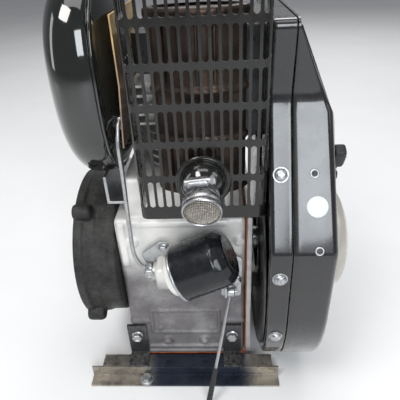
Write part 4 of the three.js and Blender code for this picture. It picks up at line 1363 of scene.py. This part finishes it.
# ---- rear side ----
def add_air_cleaner():
    low, high = span("air_cleaner")
    outline = rounded_outline([(low.x, low.y), (high.x, low.y), (high.x, high.y), (low.x, high.y)], 16, 10)
    mid = ((low.x + high.x) / 2, (low.y + high.y) / 2)
    loops = []
    for z, inset in ((0, 30), (0, 6), (0.6, 3), (2.2, 1.0), (5, 0.4), (40, 0), (40.8, 1.6), (42.6, 1.6),
                     (43.4, 0), (78, 0.4), (98, 1.0), (106, 3.2), (110, 7.5), (111.6, 14), (112, 30)):
        loops.append([(mid[0] + (u - mid[0]) * (1 - inset / 62), mid[1] + (v - mid[1]) * (1 - inset / 33),
                       low.z + z) for u, v in outline])
    ribs = [block((x - 1.5, high.y - 2, low.z + 50), (x + 1.5, high.y + 0.0, low.z + 98), 0.9) for x in
            (mid[0] - 40, mid[0] - 24, mid[0] - 8, mid[0] + 8, mid[0] + 24, mid[0] + 40)]
    make("air_cleaner_box", merged(capped_loft(loops), *ribs), PLASTIC, replaces=["air_cleaner"],
         slot="black_plastic", sharp=40)
    knob = moved(turned("z", [(0, 0), (9, 0), (9, 5), (6, 8), (0, 8)], 48, 1.4),
                 (mid[0], mid[1], high.z - 1))
    make("air_cleaner_nut", knob, ZINC, slot="zinc", sharp=40)


def dress_nodes():
    plan = [
        (MACHINED_ALUMINIUM, 1.2, ["side_cover", "cylinder_barrel", "cylinder_head", "carburettor", "piston"]),
        (RAIL_PAINT, 0.8, ["front_rail", "rear_rail"]),
        (SATIN, 0.9, ["oil_pan", "foot_front_left", "foot_front_right", "foot_rear_left", "foot_rear_right",
                      "rocker_cover"]),
        (SEALANT, 0.3, ["side_gasket", "pan_gasket"]),
        (STEEL, 0.4, ["bearing_drive", "bearing_flywheel", "wrist_pin", "connecting_rod", "crankshaft",
                      "crank_gear", "cam_gear", "camshaft", "starter_cup", "lever_pin", "spark_plug"]),
        (IRON, 0.8, ["flywheel"]),
        (PLASTIC, 0.5, ["cooling_fan", "recoil_pulley"]),
        (BROWN, 0.5, ["exhaust_pipe"]),
        (GOLD, 0.4, ["heat_shield"]),
        (ZINC, 0.6, ["tank_bracket"]),
    ]
    for material, edge, names in plan:
        for name in names:
            dress_node(name, material, edge)


add_camera()
add_studio()
dress_nodes()
add_crankcase()
add_bell()
add_filter_adapter()
add_bolts()
add_blower_housing()
add_cowl()
add_air_hood()
add_cowl_screws()
add_housing_details()
add_back_plate()
add_recoil()
add_handle()
add_guard()
add_muffler()
add_outlet()
add_clamp()
add_filter()
add_oil_line()
add_fittings()
add_lever()
add_tank()
add_air_cleaner()
